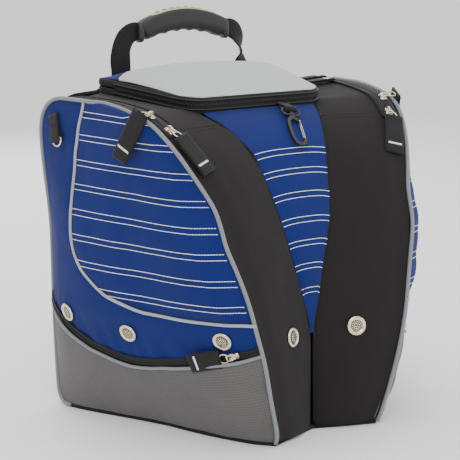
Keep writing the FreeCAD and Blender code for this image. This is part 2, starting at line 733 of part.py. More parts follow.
def hook_eye():
    """Swivel eye: a bar through the webbing, side arms, and a boss with the swivel hole."""
    eye = cylinder(1.4, V(0, -12, 0), V(0, 12, 0))
    for y in (-12.0, 9.2):
        eye = eye.fuse(box(-1.4, 10, y, y + 2.8, -1.4, 1.4))
    eye = eye.fuse(box(8.5, 12, -12, 12, -1.8, 1.8))
    eye = eye.fuse(cylinder(3.4, V(8.5, 0, 0), V(12, 0, 0)))
    eye = eye.cut(cylinder(HOOK_PIN + 0.05, V(0, 0, 0), V(14, 0, 0)))
    return eye


def hook_body():
    """Snap hook: a head and pin in the swivel, and a long J whose nose meets the gate."""
    pin = cylinder(HOOK_PIN, V(8.0, 0, 0), V(14, 0, 0)).fuse(cylinder(2.6, V(6.2, 0, 0), V(8.2, 0, 0)))
    outer = stadium(HOOK_BODY_START, HOOK_LENGTH, HOOK_HALF)
    inner = stadium(HOOK_BODY_START + HOOK_WIRE, HOOK_LENGTH - HOOK_WIRE, HOOK_HALF - HOOK_WIRE)
    mouth = box(18, HOOK_LENGTH - 12, 1.5, HOOK_HALF + 1, -5, 5)
    return pin.fuse(outer.cut(inner).cut(mouth))


def stadium(x0, x1, r):
    """Long rounded plate, 5 thick, from x0 to x1."""
    a, b = x0 + r, x1 - r
    shape = box(a, b, -r, r, -2.5, 2.5)
    for x in (a, b):
        shape = shape.fuse(Part.makeCylinder(r, 5, V(x, 0, -2.5), V(0, 0, 1)))
    return shape


def hook_gate():
    """Wire gate across the hook's mouth."""
    y = HOOK_HALF - 2.2
    wires = []
    for z in (-1.3, 1.3):
        wires.append(cylinder(0.8, V(18.4, y, z), V(HOOK_LENGTH - 12.4, y, z)))
    tip = box(HOOK_LENGTH - 14, HOOK_LENGTH - 12.3, y - 0.9, y + 0.9, -2.1, 2.1)
    root = box(18.3, 20, y - 0.9, y + 0.9, -2.1, 2.1)
    return wires[0].fuse(wires[1]).fuse(tip).fuse(root)


# ---- handle -----------------------------------------------------------------------------------------------

def handle_anchor():
    tab = box(HANDLE_LEG_X - LEG_HALF, HANDLE_LEG_X + LEG_HALF, HANDLE_Y, HANDLE_Y + LEG_THICK,
              ANCHOR_LOW_Z, HANDLE_PIVOT_Z - 1.5)
    return Part.makeCompound([tab, mirror(tab)])


def handle_strap():
    """Webbing legs that rise from the back and bend in to the grip."""
    y0 = HANDLE_Y
    x_in, x_out = HANDLE_LEG_X - LEG_HALF, HANDLE_LEG_X + LEG_HALF
    outline = [V(x_out, y0, HANDLE_PIVOT_Z), V(x_out, y0, 450), V(80, y0, 476),
               V(GRIP_END + 5.4, y0, 482), V(GRIP_END + 5.4, y0, 455), V(76, y0, 450),
               V(x_in, y0, 440), V(x_in, y0, HANDLE_PIVOT_Z)]
    leg = Part.Face(Part.makePolygon(outline + outline[:1])).extrude(V(0, LEG_THICK, 0))
    return Part.makeCompound([leg, mirror(leg)])


def grip_axis(x):
    """Height of the grip's middle line and its half height, along its arch."""
    drop = (x / GRIP_END) ** 2
    return GRIP_Z - GRIP_ARCH * drop, GRIP_HALF - GRIP_THINNING * drop


def handle_grip():
    wires = []
    steps = 8
    for k in range(steps + 1):
        x = -GRIP_END + 2 * GRIP_END * k / steps
        z, half = grip_axis(x)
        ring = Part.Ellipse(V(x, HANDLE_Y + 1.5, z), half, GRIP_DEPTH)
        circle = ring.toShape()
        circle.rotate(V(x, HANDLE_Y + 1.5, z), V(0, 1, 0), 90)
        wires.append(Part.Wire([circle]))
    return Part.makeLoft(wires, True, False)


def grip_insert():
    """Soft inlay along the top of the grip."""
    rows = []
    for k in range(7):
        x = INLAY_HALF * (k / 3.0 - 1)
        z, half = grip_axis(x)
        low = z + half + 0.2
        y = HANDLE_Y + 1.5
        corners = [V(x, y - 5, low), V(x, y + 5, low), V(x, y + 4, low + 1.3), V(x, y - 4, low + 1.3)]
        rows.append(corners)
    return ruled_loft(rows)


def grip_collars():
    z, half = grip_axis(GRIP_END)
    collar = box(GRIP_END + 0.4, GRIP_END + 5, HANDLE_Y - 8, HANDLE_Y + 11, z - half, z + half)
    return Part.makeCompound([collar, mirror(collar)])


def save(name, shape):
    """Write one node and print its size."""
    if not shape.isValid():
        print("INVALID", name)
    shape.exportStep("parts/" + name + ".step")
    b = shape.BoundBox
    print("%-22s %d solids %8.1f cm3  x %.0f..%.0f y %.0f..%.0f z %.0f..%.0f" % (
        name, len(shape.Solids), shape.Volume / 1000.0, b.XMin, b.XMax, b.YMin, b.YMax, b.ZMin, b.ZMax))


def save_pair(name, shape):
    """Write the +X piece as right_ and its mirror image as left_."""
    save("right_" + name, shape)
    save("left_" + name, mirror(shape))


def save_both(name, shape):
    """Write a piece and its mirror image as one node."""
    save(name, Part.makeCompound([shape, mirror(shape)]))


def main():
    os.makedirs("parts", exist_ok=True)
    save("base_panel", base_panel())
    save("back_panel", back_panel())
    save("back_pads", back_pads())
    save("front_panel", front_panel())
    save_pair("gusset", gusset())
    save_pair("divider", divider())
    wall = side_panel()
    save_pair("side_panel", fixed_part(wall))
    save_pair("boot_flap", flap_part(wall))
    edge = piping()
    save_pair("piping", fixed_part(edge))
    save_pair("flap_piping", flap_part(edge))
    save_pair("pocket", pocket())
    save_pair("pocket_zipper", pocket_zipper())
    save_pair("vents", vents())
    save_pair("boot_zipper", zipper_track())
    for name, frame in zip(("rear", "front"), boot_slider_frames()):
        origin, along, normal, pull_dir, end, tab_normal = frame
        save_pair(name + "_slider", slider(origin, along, normal, pull_dir))
        save_pair(name + "_pull", pull(origin, pull_dir, normal, end, tab_normal))
    origin, along, normal, end = pocket_slider_frame()
    save_pair("pocket_slider", slider(origin, along, normal, along))
    save_pair("pocket_pull", pull(origin, along, normal, end))
    save_pair("ring_tab", ring_tab())
    save_pair("d_ring", d_ring())
    save("lid_rim", lid_rim())
    save("lid_rear", lid_rear())
    save("lid", lid())
    for name, y in LID_SLIDERS:
        origin, along, normal = lid_slider_frame(y)
        save("lid_slider_" + name, slider(origin, along, normal, V(0, 0, -1)))
        hinge = origin + (normal - V(0, 0, 1)) * PIN_UP
        end = origin + normal * LID_PULL_LENGTH + V(0, 0, LID_PULL_RISE)
        save("lid_pull_" + name, pull(hinge, normal, V(0, 0, 1), end, width=LID_TAB_WIDTH))
    save("hook_tab", hook_tab())
    bar, down, normal = hook_frame()
    save("hook_eye", placed(hook_eye(), bar, down, normal))
    save("hook_body", placed(hook_body(), bar, down, normal))
    save("hook_gate", placed(hook_gate(), bar, down, normal))
    save("handle_anchor", handle_anchor())
    save("handle_strap", handle_strap())
    save("handle_grip", handle_grip())
    save("grip_insert", grip_insert())
    save("grip_collars", grip_collars())
    save_pair("shoulder_strap", shoulder_strap())
    save_both("strap_webbing", strap_webbing())
    save_both("ladder_buckles", ladder_buckle())


if __name__ == "__main__":
    main()
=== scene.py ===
import bpy
import json
import math
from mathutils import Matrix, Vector, noise


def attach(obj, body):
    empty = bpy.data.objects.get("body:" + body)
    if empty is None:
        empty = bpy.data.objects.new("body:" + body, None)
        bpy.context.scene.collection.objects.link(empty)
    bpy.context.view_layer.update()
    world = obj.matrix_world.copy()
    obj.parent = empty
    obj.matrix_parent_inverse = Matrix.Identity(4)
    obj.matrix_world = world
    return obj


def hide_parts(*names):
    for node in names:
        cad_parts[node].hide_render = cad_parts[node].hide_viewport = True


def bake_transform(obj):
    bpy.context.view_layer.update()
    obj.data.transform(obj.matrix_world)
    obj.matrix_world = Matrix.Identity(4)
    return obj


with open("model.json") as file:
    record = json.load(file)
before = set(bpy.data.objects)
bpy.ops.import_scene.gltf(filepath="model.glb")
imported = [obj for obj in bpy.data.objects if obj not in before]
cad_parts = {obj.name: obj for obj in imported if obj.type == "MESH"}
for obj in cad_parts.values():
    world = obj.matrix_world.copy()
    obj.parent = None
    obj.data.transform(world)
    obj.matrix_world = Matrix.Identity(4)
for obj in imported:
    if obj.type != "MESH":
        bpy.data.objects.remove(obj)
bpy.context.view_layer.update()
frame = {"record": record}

# Ski boot bag. Lengths are written in millimetres and turned into metres where a mesh is made.
# Shapes are given for the +X half ("right") and mirrored to -X ("left").

MM = 0.001
V = Vector
SIDES = (("right", 1), ("left", -1))

# ---- the bag's surfaces ------------------------------------------------------------------------------

HALF_WIDTH = 213.0
BULGE = 6.0
Y_WIDE = 95.0
Y_BACK = 155.0
HEIGHT = 398.0
CORNER_TOP = 50.0
CORNER_LOW = 25.0
BASE_TOP = 4.5
POCKET_DEPTH = 5.0
FRONT_EDGE = [(0, -146), (14, -153), (60, -158), (120, -160), (200, -148), (280, -123), (340, -90),
              (371, -62), (385, -38), (393, -6), (398, 30)]
INNER_EDGE = [(0, 3, -118), (127, 3, -116), (149, 8, -115), (206, 23, -109), (261, 38, -101),
              (316, 50, -80), (339, 56, -69), (353, 64, -55), (371, 76, -33), (382, 86, -7)]
GUSSET_HEIGHTS = [4.5, 30, 75, 120, 165, 210, 255, 295, 325, 350, 366]
TOP_STATIONS = [((-38, 385), (90, 2, 384)), ((-6, 393), (100, 22, 386)), ((40, 398), (109, 52, 388)),
                ((90, 398), (119, 92, 391)), ((128, 391), (127, 126, 394)), ((146, 376), (131, 152, 396))]
POCKET_TOP = [(-175, 124), (-134, 108), (-74, 93), (-7, 83), (38, 89), (83, 103), (125, 124), (175, 150)]
ACCENT = [(64, 397), (77, 358), (84, 319), (88, 276), (80, 241), (75, 216), (63, 198), (45, 184), (24, 171),
          (-2, 163), (-30, 157), (-62, 155), (-103, 153), (-158, 154)]
STITCH_ROWS = [176, 206, 237, 266, 296, 326, 357, 385]
STITCH_PAIR = 6.8
PADDING = 12.0
PADDING_FROM = 148.0      # the padding grows from here up over PADDING_GROWS,
PADDING_GROWS = 32.0
PADDING_ENDS = 280.0      # and fades from here over PADDING_FADES
PADDING_FADES = 52.0
POCKET_PADDING = 6.5
LINING_TOP = 70.0         # behind the pocket the panel is lined in its grey, up to here
FLAP_FRONT = (-8.0, 392.0)
FLAP_BACK = (151.0, 150.0)
FOLD_SHIFT = 19.5
VENT_PLACES = [(-123, 132), (-6, 126), (94, 135)]


def smooth(t):
    t = min(1.0, max(0.0, t))
    return t * t * (3 - 2 * t)


def lerp(a, b, t):
    return a + (b - a) * t


def curve(table, t):
    """Smooth curve through rows of (parameter, value, ...), as a list of values."""
    n = len(table)
    if t <= table[0][0]:
        return list(table[0][1:])
    if t >= table[-1][0]:
        return list(table[-1][1:])
    i = 0
    while table[i + 1][0] < t:
        i += 1
    p0, p1, p2, p3 = table[max(i - 1, 0)], table[i], table[i + 1], table[min(i + 2, n - 1)]
    h = p2[0] - p1[0]
    u = (t - p1[0]) / h
    values = []
    for k in range(1, len(p1)):
        m1 = (p2[k] - p0[k]) / (p2[0] - p0[0]) * h
        m2 = (p3[k] - p1[k]) / (p3[0] - p1[0]) * h
        a = 2 * u ** 3 - 3 * u ** 2 + 1
        b = u ** 3 - 2 * u ** 2 + u
        c = -2 * u ** 3 + 3 * u ** 2
        d = u ** 3 - u ** 2
        values.append(a * p1[k] + b * m1 + c * p2[k] + d * m2)
    return values


def front_y(z):
    return curve(FRONT_EDGE, z)[0]


def back_y(z, inset=0.0):
    limit = Y_BACK - inset
    drop = CORNER_LOW - z
    rise = z - (HEIGHT - inset - CORNER_TOP)
    if drop > 0:
        return limit - CORNER_LOW + math.sqrt(max(0.0, CORNER_LOW ** 2 - drop ** 2))
    if rise > 0:
        return limit - CORNER_TOP + math.sqrt(max(0.0, CORNER_TOP ** 2 - min(rise, CORNER_TOP) ** 2))
    return limit


def side_x(y, z):
    """Half width of the bag at (y, z)."""
    slope = 0.0066 - 0.0037 * (z / 371.0) ** 2.5
    x = HALF_WIDTH - slope * abs(Y_WIDE - y) ** 1.75
    if y > -10:
        base_tuck = 61 - 56 * ((y + 10) / 165.0) ** 2
    else:
        base_tuck = 61 - 24 * (-10 - y) / 142.0
    x -= base_tuck * max(0.0, (150.0 - z) / 150.0) ** 1.6
    x -= 12 * smooth((z - 235) / 60.0) * (1 - smooth((y - 60) / 95.0))
    x -= 9 * max(0.0, (y - 110) / 45.0) ** 2 * (1 - smooth((z - 220) / 130.0))
    x += BULGE * smooth((y - front_y(z)) / 22.0)
    return x


def pocket_inset(z):
    return POCKET_DEPTH * smooth((150 - z) / 38.0)


def side_point(y, z, lift=0.0, recess=True):
    """Place on the side panel and its outward normal."""
    def raw(a, b):
        return V((side_x(a, b) - (pocket_inset(b) if recess else 0.0), a, b))
    p = raw(y, z)
    n = (raw(y + 2, z) - raw(y - 2, z)).cross(raw(y, z + 2) - raw(y, z - 2)).normalized()
    return p + n * lift, n


def gusset_pairs():
    pairs = []
    for z in GUSSET_HEIGHTS:
        x_in, y_in = curve(INNER_EDGE, z)
        y = front_y(z)
        pairs.append((V((side_x(y, z), y, z)), V((x_in, y_in, z))))
    for (y, z), inner in TOP_STATIONS:
        pairs.append((V((side_x(y, z), y, z)), V(inner)))
    return pairs


PAIRS = gusset_pairs()
OUTER_TABLE = [(i, *outer) for i, (outer, inner) in enumerate(PAIRS)]
INNER_TABLE = [(i, *inner) for i, (outer, inner) in enumerate(PAIRS)]
LAST_STATION = len(PAIRS) - 1


def gusset_crown(s):
    """How far the gusset swells out between its edges."""
    return lerp(6.0, 1.0, smooth((s - 7.0) / 3.0))


def gusset_point(s, w, lift=0.0):
    """Place w mm in from the gusset's outer edge at station s (w < 0: from the inner edge).

    Gives the place, its normal, the direction along the gusset and the gusset's width there.
    """
    outer = V(curve(OUTER_TABLE, s))
    inner = V(curve(INNER_TABLE, s))
    width = (inner - outer).length
    across = (inner - outer) / width
    if w < 0:
        w = width + w
    s0, s1 = max(0.0, s - 0.2), min(LAST_STATION, s + 0.2)
    along = V(curve(OUTER_TABLE, s1)) + V(curve(INNER_TABLE, s1))
    along -= V(curve(OUTER_TABLE, s0)) + V(curve(INNER_TABLE, s0))
    n = across.cross(along).normalized()
    if n.z - n.y < 0:
        n = -n
    f = min(1.0, max(0.0, w / width))
    swell = gusset_crown(s) * math.sin(math.pi * f) ** 0.8 * smooth(w / 30.0)
    return outer + across * w + n * (lift + swell), n, along.normalized(), width


def wrinkle(p, size, amount, seed=0.0):
    """Smooth noise in mm at a point, for creased cloth."""
    q = V((p[0] / size + seed, p[1] / size, p[2] / size))
    return amount * (noise.noise(q) + 0.5 * noise.noise(q * 2.1))


# ---- materials ---------------------------------------------------------------------------------------

def linear(rgb):
    return tuple(((c / 255.0 + 0.055) / 1.055) ** 2.4 if c > 10 else c / 255.0 / 12.92 for c in rgb) + (1.0,)


class Shader:
    """Small helper round one material's node tree."""

    def __init__(self, name, rgb, roughness, metallic=0.0, sheen=0.0, specular=0.5):
        self.material = bpy.data.materials.new(name)
        self.material.use_nodes = True
        self.tree = self.material.node_tree
        self.bsdf = self.tree.nodes["Principled BSDF"]
        self.bsdf.inputs["Base Color"].default_value = linear(rgb)
        self.bsdf.inputs["Roughness"].default_value = roughness
        self.bsdf.inputs["Metallic"].default_value = metallic
        self.bsdf.inputs["Sheen Weight"].default_value = sheen
        self.bsdf.inputs["Specular IOR Level"].default_value = specular
        self.material.diffuse_color = linear(rgb)
        self.heights = []

    def node(self, kind, **settings):
        n = self.tree.nodes.new(kind)
        for key, value in settings.items():
            setattr(n, key, value)
        return n

    def link(self, a, b):
        self.tree.links.new(a, b)

    def object_coords(self):
        return self.node("ShaderNodeTexCoord").outputs["Object"]

    def cloth_coords(self):
        return self.node("ShaderNodeUVMap", uv_map="cloth").outputs["UV"]

    def math(self, operation, a, b=None):
        n = self.node("ShaderNodeMath", operation=operation)
        for socket, value in zip(n.inputs, (a, b)):
            if value is None:
                continue
            if isinstance(value, (int, float)):
                socket.default_value = value
            else:
                self.link(value, socket)
        return n.outputs[0]

    def noise(self, scale, detail=2.0, coords=None):
        n = self.node("ShaderNodeTexNoise")
        n.inputs["Scale"].default_value = scale
        n.inputs["Detail"].default_value = detail
        self.link(coords or self.object_coords(), n.inputs["Vector"])
        return n.outputs["Fac"]

    def wave(self, direction, period, coords, distortion=0.0):
        """Sine bands with this period in metres along X or Y of the coordinates."""
        n = self.node("ShaderNodeTexWave", bands_direction=direction)
        n.inputs["Scale"].default_value = math.pi / (10.0 * period)
        n.inputs["Distortion"].default_value = distortion
        self.link(coords, n.inputs["Vector"])
        return n.outputs["Fac"]

    def tint(self, factor, dark, light):
        """Base colour from dark to light (multiples of the plain colour) along a factor."""
        base = self.bsdf.inputs["Base Color"].default_value
        ramp = self.node("ShaderNodeValToRGB")
        ramp.color_ramp.elements[0].position = 0.25
        ramp.color_ramp.elements[1].position = 0.75
        ramp.color_ramp.elements[0].color = tuple(c * dark for c in base[:3]) + (1.0,)
        ramp.color_ramp.elements[1].color = tuple(min(1.0, c * light) for c in base[:3]) + (1.0,)
        self.link(factor, ramp.inputs["Fac"])
        self.link(ramp.outputs["Color"], self.bsdf.inputs["Base Color"])

    def rough(self, factor, low, high):
        n = self.node("ShaderNodeMapRange")
        n.inputs["To Min"].default_value = low
        n.inputs["To Max"].default_value = high
        self.link(factor, n.inputs["Value"])
        self.link(n.outputs["Result"], self.bsdf.inputs["Roughness"])

    def bump(self, height, distance, strength=1.0):
        n = self.node("ShaderNodeBump")
        n.inputs["Distance"].default_value = distance
        n.inputs["Strength"].default_value = strength
        self.link(height, n.inputs["Height"])
        if self.heights:
            self.link(self.heights[-1], n.inputs["Normal"])
        self.heights.append(n.outputs["Normal"])
        self.link(n.outputs["Normal"], self.bsdf.inputs["Normal"])


def woven(name, rgb, pitch, depth, contrast=0.10, roughness=(0.7, 0.9), sheen=0.15, patch=14.0, specular=0.3):
    """Plain-weave cloth: threads both ways, uneven thread brightness, and slow variation of tone."""
    s = Shader(name, rgb, roughness[1], sheen=sheen, specular=specular)
    uv = s.cloth_coords()
    across = s.wave("X", pitch, uv, 0.4)
    down = s.wave("Y", pitch, uv, 0.4)
    weave = s.math("MULTIPLY", across, down)
    threads = s.noise(900.0, 1.0)
    slow = s.noise(patch, 3.0)
    tone = s.math("ADD", s.math("MULTIPLY", weave, 0.35), s.math("MULTIPLY", threads, 0.4))
    tone = s.math("ADD", tone, s.math("MULTIPLY", slow, 0.25))
    s.tint(tone, 1.0 - contrast * 1.6, 1.0 + contrast * 1.6)
    s.rough(threads, *roughness)
    s.bump(weave, depth)
    s.bump(threads, depth * 0.6)
    return s


def webbing(name, rgb, pitch=0.0017, depth=0.00025):
    """Narrow ribbed webbing: bold ribs across, fine threads along."""
    s = Shader(name, rgb, 0.8, sheen=0.1, specular=0.3)
    uv = s.cloth_coords()
    ribs = s.wave("Y", pitch, uv, 0.6)
    lengthways = s.wave("X", pitch * 1.6, uv, 0.3)
    mix = s.math("ADD", s.math("MULTIPLY", ribs, 0.7), s.math("MULTIPLY", lengthways, 0.3))
    threads = s.noise(800.0, 2.0)
    s.tint(s.math("MULTIPLY", mix, s.math("ADD", threads, 0.5)), 0.75, 1.35)
    s.rough(threads, 0.7, 0.95)
    s.bump(mix, depth)
    return s


def moulded(name, rgb, roughness=0.45, grain=0.00006, specular=0.5):
    s = Shader(name, rgb, roughness, specular=specular)
    fine = s.noise(1400.0, 2.0)
    slow = s.noise(35.0, 3.0)
    s.tint(slow, 0.9, 1.12)
    s.rough(s.math("MULTIPLY", s.math("ADD", fine, slow), 0.5), roughness - 0.08, roughness + 0.14)
    s.bump(fine, grain)
    return s


def plated(name, rgb, roughness=0.22):
    s = Shader(name, rgb, roughness, metallic=1.0)
    scuff = s.noise(260.0, 4.0)
    slow = s.noise(60.0, 2.0)
    s.tint(slow, 0.92, 1.06)
    s.rough(scuff, roughness - 0.05, roughness + 0.16)
    s.bump(scuff, 0.00003)
    return s


BLUE = woven("blue_cloth", (13, 31, 100), 0.0016, 0.00022, contrast=0.14, sheen=0.05, specular=0.2)
BLACK = woven("black_cloth", (30, 27, 27), 0.0017, 0.00022, contrast=0.12, sheen=0.04, specular=0.2)
BLACK_STRIPE = woven("black_lining", (44, 42, 42), 0.0024, 0.0002)
MESH = woven("grey_mesh", (90, 87, 87), 0.0028, 0.0004, contrast=0.18)
PALE = woven("pale_grey_cloth", (182, 185, 186), 0.0012, 0.00012, contrast=0.05)
WEB = webbing("black_webbing", (20, 19, 20))
TAPE = webbing("zip_tape", (21, 21, 22), 0.0012, 0.00015)
PIPE = woven("grey_piping", (124, 127, 132), 0.0011, 0.0001, contrast=0.08, roughness=(0.5, 0.7))
ACCENT_PIPE = woven("accent_piping", (160, 164, 172), 0.0011, 0.0001, contrast=0.08, roughness=(0.45, 0.65))
THREAD = woven("white_thread", (236, 238, 250), 0.0008, 0.00005, contrast=0.08)
DARK_THREAD = woven("black_thread", (26, 25, 26), 0.0008, 0.00005)
COIL = moulded("zip_coil", (20, 20, 22), 0.4)
NICKEL = plated("nickel", (226, 214, 190))
STEEL = plated("gate_wire", (190, 182, 165), 0.25)
PLASTIC = moulded("black_plastic", (28, 29, 30), 0.38)
RUBBER = moulded("black_rubber", (19, 18, 19), 0.5, 0.0001)
OLIVE = moulded("olive_rubber", (182, 184, 134), 0.55)
# Painted shade: the vents' holes are dark discs that stand in for the shade seen through real openings.
HOLE_SHADE = moulded("painted_shade_holes", (16, 15, 15), 0.8)
FOAM = woven("back_mesh", (46, 44, 45), 0.0032, 0.0007, contrast=0.2)


# ---- meshes ------------------------------------------------------------------------------------------

def make(name, verts, faces, material, uvs=None, sharp=False):
    """Object from points in mm. uvs are per vertex, in mm."""
    me = bpy.data.meshes.new(name)
    me.from_pydata([tuple(c * MM for c in v) for v in verts], [], faces)
    if uvs:
        layer = me.uv_layers.new(name="cloth")
        for loop in me.loops:
            u, v = uvs[loop.vertex_index]
            layer.data[loop.index].uv = (u * MM, v * MM)
    for p in me.polygons:
        p.use_smooth = not sharp
    me.materials.append(material.material)
    ob = bpy.data.objects.new(name, me)
    bpy.context.scene.collection.objects.link(ob)
    return ob


class Build:
    """Collects points and faces of one piece."""

    def __init__(self):
        self.verts = []
        self.faces = []
        self.uvs = []

    def rows(self, rows, flip=False, closed=False, caps=False):
        """Quads between rows of points. closed joins each row's ends; caps fills the first and last row."""
        start = len(self.verts)
        m = len(rows[0])
        v_run = 0.0
        middle = m // 2
        for i, row in enumerate(rows):
            if i:
                v_run += (row[middle] - rows[i - 1][middle]).length
            lengths = [0.0]
            for a, b in zip(row, row[1:]):
                lengths.append(lengths[-1] + (b - a).length)
            for p, u in zip(row, lengths):
                self.verts.append(p)
                self.uvs.append((u - lengths[middle], v_run))
        for i in range(len(rows) - 1):
            for j in range(m if closed else m - 1):
                a = start + i * m + j
                b = start + i * m + (j + 1) % m
                quad = (a, b, b + m, a + m)
                self.faces.append(quad[::-1] if flip else quad)
        if caps:
            first = tuple(range(start, start + m))
            last = tuple(range(start + (len(rows) - 1) * m, start + len(rows) * m))
            self.faces.append(first if flip else first[::-1])
            self.faces.append(last[::-1] if flip else last)
        return self

    def tube(self, points, radius, sides=10, squash=1.0, hint=None, taper=None):
        """Round tube along points. squash flattens it along hint."""
        rows = []
        up = hint.normalized() if hint else None
        n = len(points)
        for i, p in enumerate(points):
            along = (points[min(i + 1, n - 1)] - points[max(i - 1, 0)]).normalized()
            if up is None:
                up = along.orthogonal().normalized()
            up = (up - along * up.dot(along)).normalized()
            side = along.cross(up)
            r = radius * (taper(i / (n - 1.0)) if taper else 1.0)
            rows.append([p + side * (r * math.cos(a)) + up * (r * squash * math.sin(a))
                         for a in (2 * math.pi * k / sides for k in range(sides))])
        return self.rows(rows, closed=True, caps=True)

    def strap(self, points, normals, width, thick, bow=0.0):
        """Flat webbing along points, with rounded edges. width may be a list, one value for each point."""
        rows = []
        n = len(points)
        for i, p in enumerate(points):
            along = (points[min(i + 1, n - 1)] - points[max(i - 1, 0)]).normalized()
            nor = normals[i] if isinstance(normals, list) else normals
            nor = (nor - along * nor.dot(along)).normalized()
            side = nor.cross(along)
            w = (width[i] if isinstance(width, list) else width) / 2.0
            t = thick / 2.0
            ring = []
            for a, b in ((-1, -0.4), (-0.93, -1), (-0.5, -1), (0, -1), (0.5, -1), (0.93, -1), (1, -0.4),
                         (1, 0.4), (0.93, 1), (0.5, 1), (0, 1), (-0.5, 1), (-0.93, 1), (-1, 0.4)):
                ring.append(p + side * (a * w) + nor * (b * t + bow * (1 - a * a)))
            rows.append(ring)
        return self.rows(rows, closed=True, caps=True)

    def block(self, centre, x, y, z, size, chamfer=0.25):
        """Bar with chamfered long edges: axes x, y, z and full sizes."""
        sx, sy, sz = (c / 2.0 for c in size)
        c = chamfer * min(sy, sz) * 2
        ring = [(sy, -sz + c), (sy, sz - c), (sy - c, sz), (-sy + c, sz), (-sy, sz - c), (-sy, -sz + c),
                (-sy + c, -sz), (sy - c, -sz)]
        rows = []
        for sign, shrink in ((-1, 0.75), (-0.9, 1.0), (0.9, 1.0), (1, 0.75)):
            rows.append([centre + x * (sx * sign) + y * (a * shrink) + z * (b * shrink) for a, b in ring])
        return self.rows(rows, closed=True, caps=True)

    def lathe(self, origin, axis, profile, sides=24):
        """Surface turned round an axis. profile is (radius, height) pairs."""
        a = axis.orthogonal().normalized()
        b = axis.cross(a).normalized()
        rows = []
        for r, h in profile:
            rows.append([origin + axis * h + a * (r * math.cos(t)) + b * (r * math.sin(t))
                         for t in (2 * math.pi * k / sides for k in range(sides))])
        return self.rows(rows, closed=True, caps=True)

    def mirrored(self):
        """The same piece on the other side, with its faces turned the right way round."""
        other = Build()
        other.verts = [V((-p.x, p.y, p.z)) for p in self.verts]
        other.faces = [tuple(reversed(f)) for f in self.faces]
        other.uvs = [(-u, v) for u, v in self.uvs]
        return other

    def object(self, name, material, sharp=False):
        return make(name, self.verts, self.faces, material, self.uvs, sharp)


def sub(ob, levels=1):
    m = ob.modifiers.new("Subdivision", "SUBSURF")
    m.levels = levels
    m.render_levels = levels
    return ob


def thick(ob, amount):
    """Cloth thickness, inwards from the modelled face."""
    m = ob.modifiers.new("Solidify", "SOLIDIFY")
    m.thickness = amount * MM
    m.offset = -1.0
    return ob


def place(ob, body, slot_name, *nodes):
    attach(ob, body)
    if nodes:
        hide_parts(*nodes)
    return ob


def pair(name, build, material, body, nodes=(), sub_levels=0, thickness=0.0, sharp=False,
         blend=None):
    """Both mirror images of a piece. body and nodes are names without their side."""
    made = []
    for side, sign in SIDES:
        b = build if sign > 0 else build.mirrored()
        ob = b.object(side + "_" + name, material, sharp)
        if thickness:
            thick(ob, thickness)
        if sub_levels:
            sub(ob, sub_levels)
        own = body if body == "shell" else side + "_" + body
        if nodes:
            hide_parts(*[side + "_" + n for n in nodes])
        if blend:
            mirror = V((sign, 1, 1))
            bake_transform(ob)
        else:
            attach(ob, own)
        made.append(ob)
    return made


def resample(points, step):
    """Points a fixed distance apart along a polyline."""
    total = sum((b - a).length for a, b in zip(points, points[1:]))
    count = max(2, int(round(total / step)))
    out = []
    run = 0.0
    target = 0.0
    for a, b in zip(points, points[1:]):
        d = (b - a).length
        while target <= run + d + 1e-6 and len(out) <= count:
            out.append(a.lerp(b, min(1.0, (target - run) / d)) if d else a.copy())
            target += total / count
        run += d
    return out


def smooth_line(table, step):
    """Smooth curve through (y, z) points, as finely spaced (y, z) tuples."""
    rows = []
    run = 0.0
    for i, p in enumerate(table):
        if i:
            run += math.dist(p, table[i - 1])
        rows.append((run, *p))
    count = max(2, int(run / step))
    return [tuple(curve(rows, run * k / count)) for k in range(count + 1)]


def stitch_run(build, places, length=2.9, gap=1.2, width=1.0, height=0.5):
    """Row of raised stitches along (point, normal) places."""
    run = 0.0
    next_at = length / 2.0
    for (p, n), (q, m) in zip(places, places[1:]):
        d = (q - p).length
        while d > 0 and next_at <= run + d:
            t = (next_at - run) / d
            normal = n.lerp(m, t).normalized()
            along = (q - p) / d
            side = normal.cross(along).normalized()
            build.block(p.lerp(q, t) + normal * (height * 0.3), along, side, normal,
                        (length, width, height), 0.3)
            next_at += length + gap
        run += d
    return build


def sew(build, table, place_on, lift=0.3, **kw):
    places = []
    for y, z in table:
        p, n = place_on(y, z)
        places.append((p + n * lift, n))
    return stitch_run(build, places, **kw)


# ---- side panels, pockets and gussets ----------------------------------------------------------------

ACCENT_LINE = smooth_line(ACCENT, 5.0)
ACCENT_BY_Z = sorted((z, y) for y, z in ACCENT if y > -2)


def accent_y(z):
    return curve(ACCENT_BY_Z, z)[0]


def pocket_z(y):
    return curve(POCKET_TOP, y)[0]


def line_distance(line, y, z):
    return min(math.hypot(y - a, z - b) for a, b in line)


def quilting(y, z):
    """The cloth swells between the rows of stitching inside the accent piping, and dips at the seams."""
    inside = z > 156 and y < accent_y(min(z, 396)) - 2
    d = 0.0
    if inside:
        row = (z - STITCH_ROWS[0] + 3.4) / 29.9
        d += 1.5 * abs(math.sin(math.pi * row)) ** 0.6
    d -= 1.6 * math.exp(-(line_distance(ACCENT_LINE, y, z) / 4.0) ** 2)
    return d


def padding(y, z):
    """Stuffing that rounds the panel out behind its front seam, between the pocket and the rear pull."""
    run = y - front_y(z)
    along = smooth(run / 26.0) * (1 - smooth((run - 34.0) / 90.0))
    fade = 1 - smooth((z - PADDING_ENDS) / PADDING_FADES)
    return PADDING * along * smooth((z - PADDING_FROM) / PADDING_GROWS) * fade


def panel_point(y, z, lift=0.0):
    p, n = side_point(y, z)
    p += V((padding(y, z), 0, 0))
    edge = smooth(min(y - front_y(z), back_y(z) - y + 1, HEIGHT - z + 6) / 14.0)
    gather = (1.3 * math.exp(-((z - pocket_z(y) - 20) / 16.0) ** 2)
              * math.sin(y / 3.6 + 2 * math.sin(y / 17.0)))
    d = quilting(y, z) + wrinkle(p, 46.0, 1.6) * edge + gather * edge * (1 if z > pocket_z(y) else 0)
    return p + n * (d * edge + lift), n


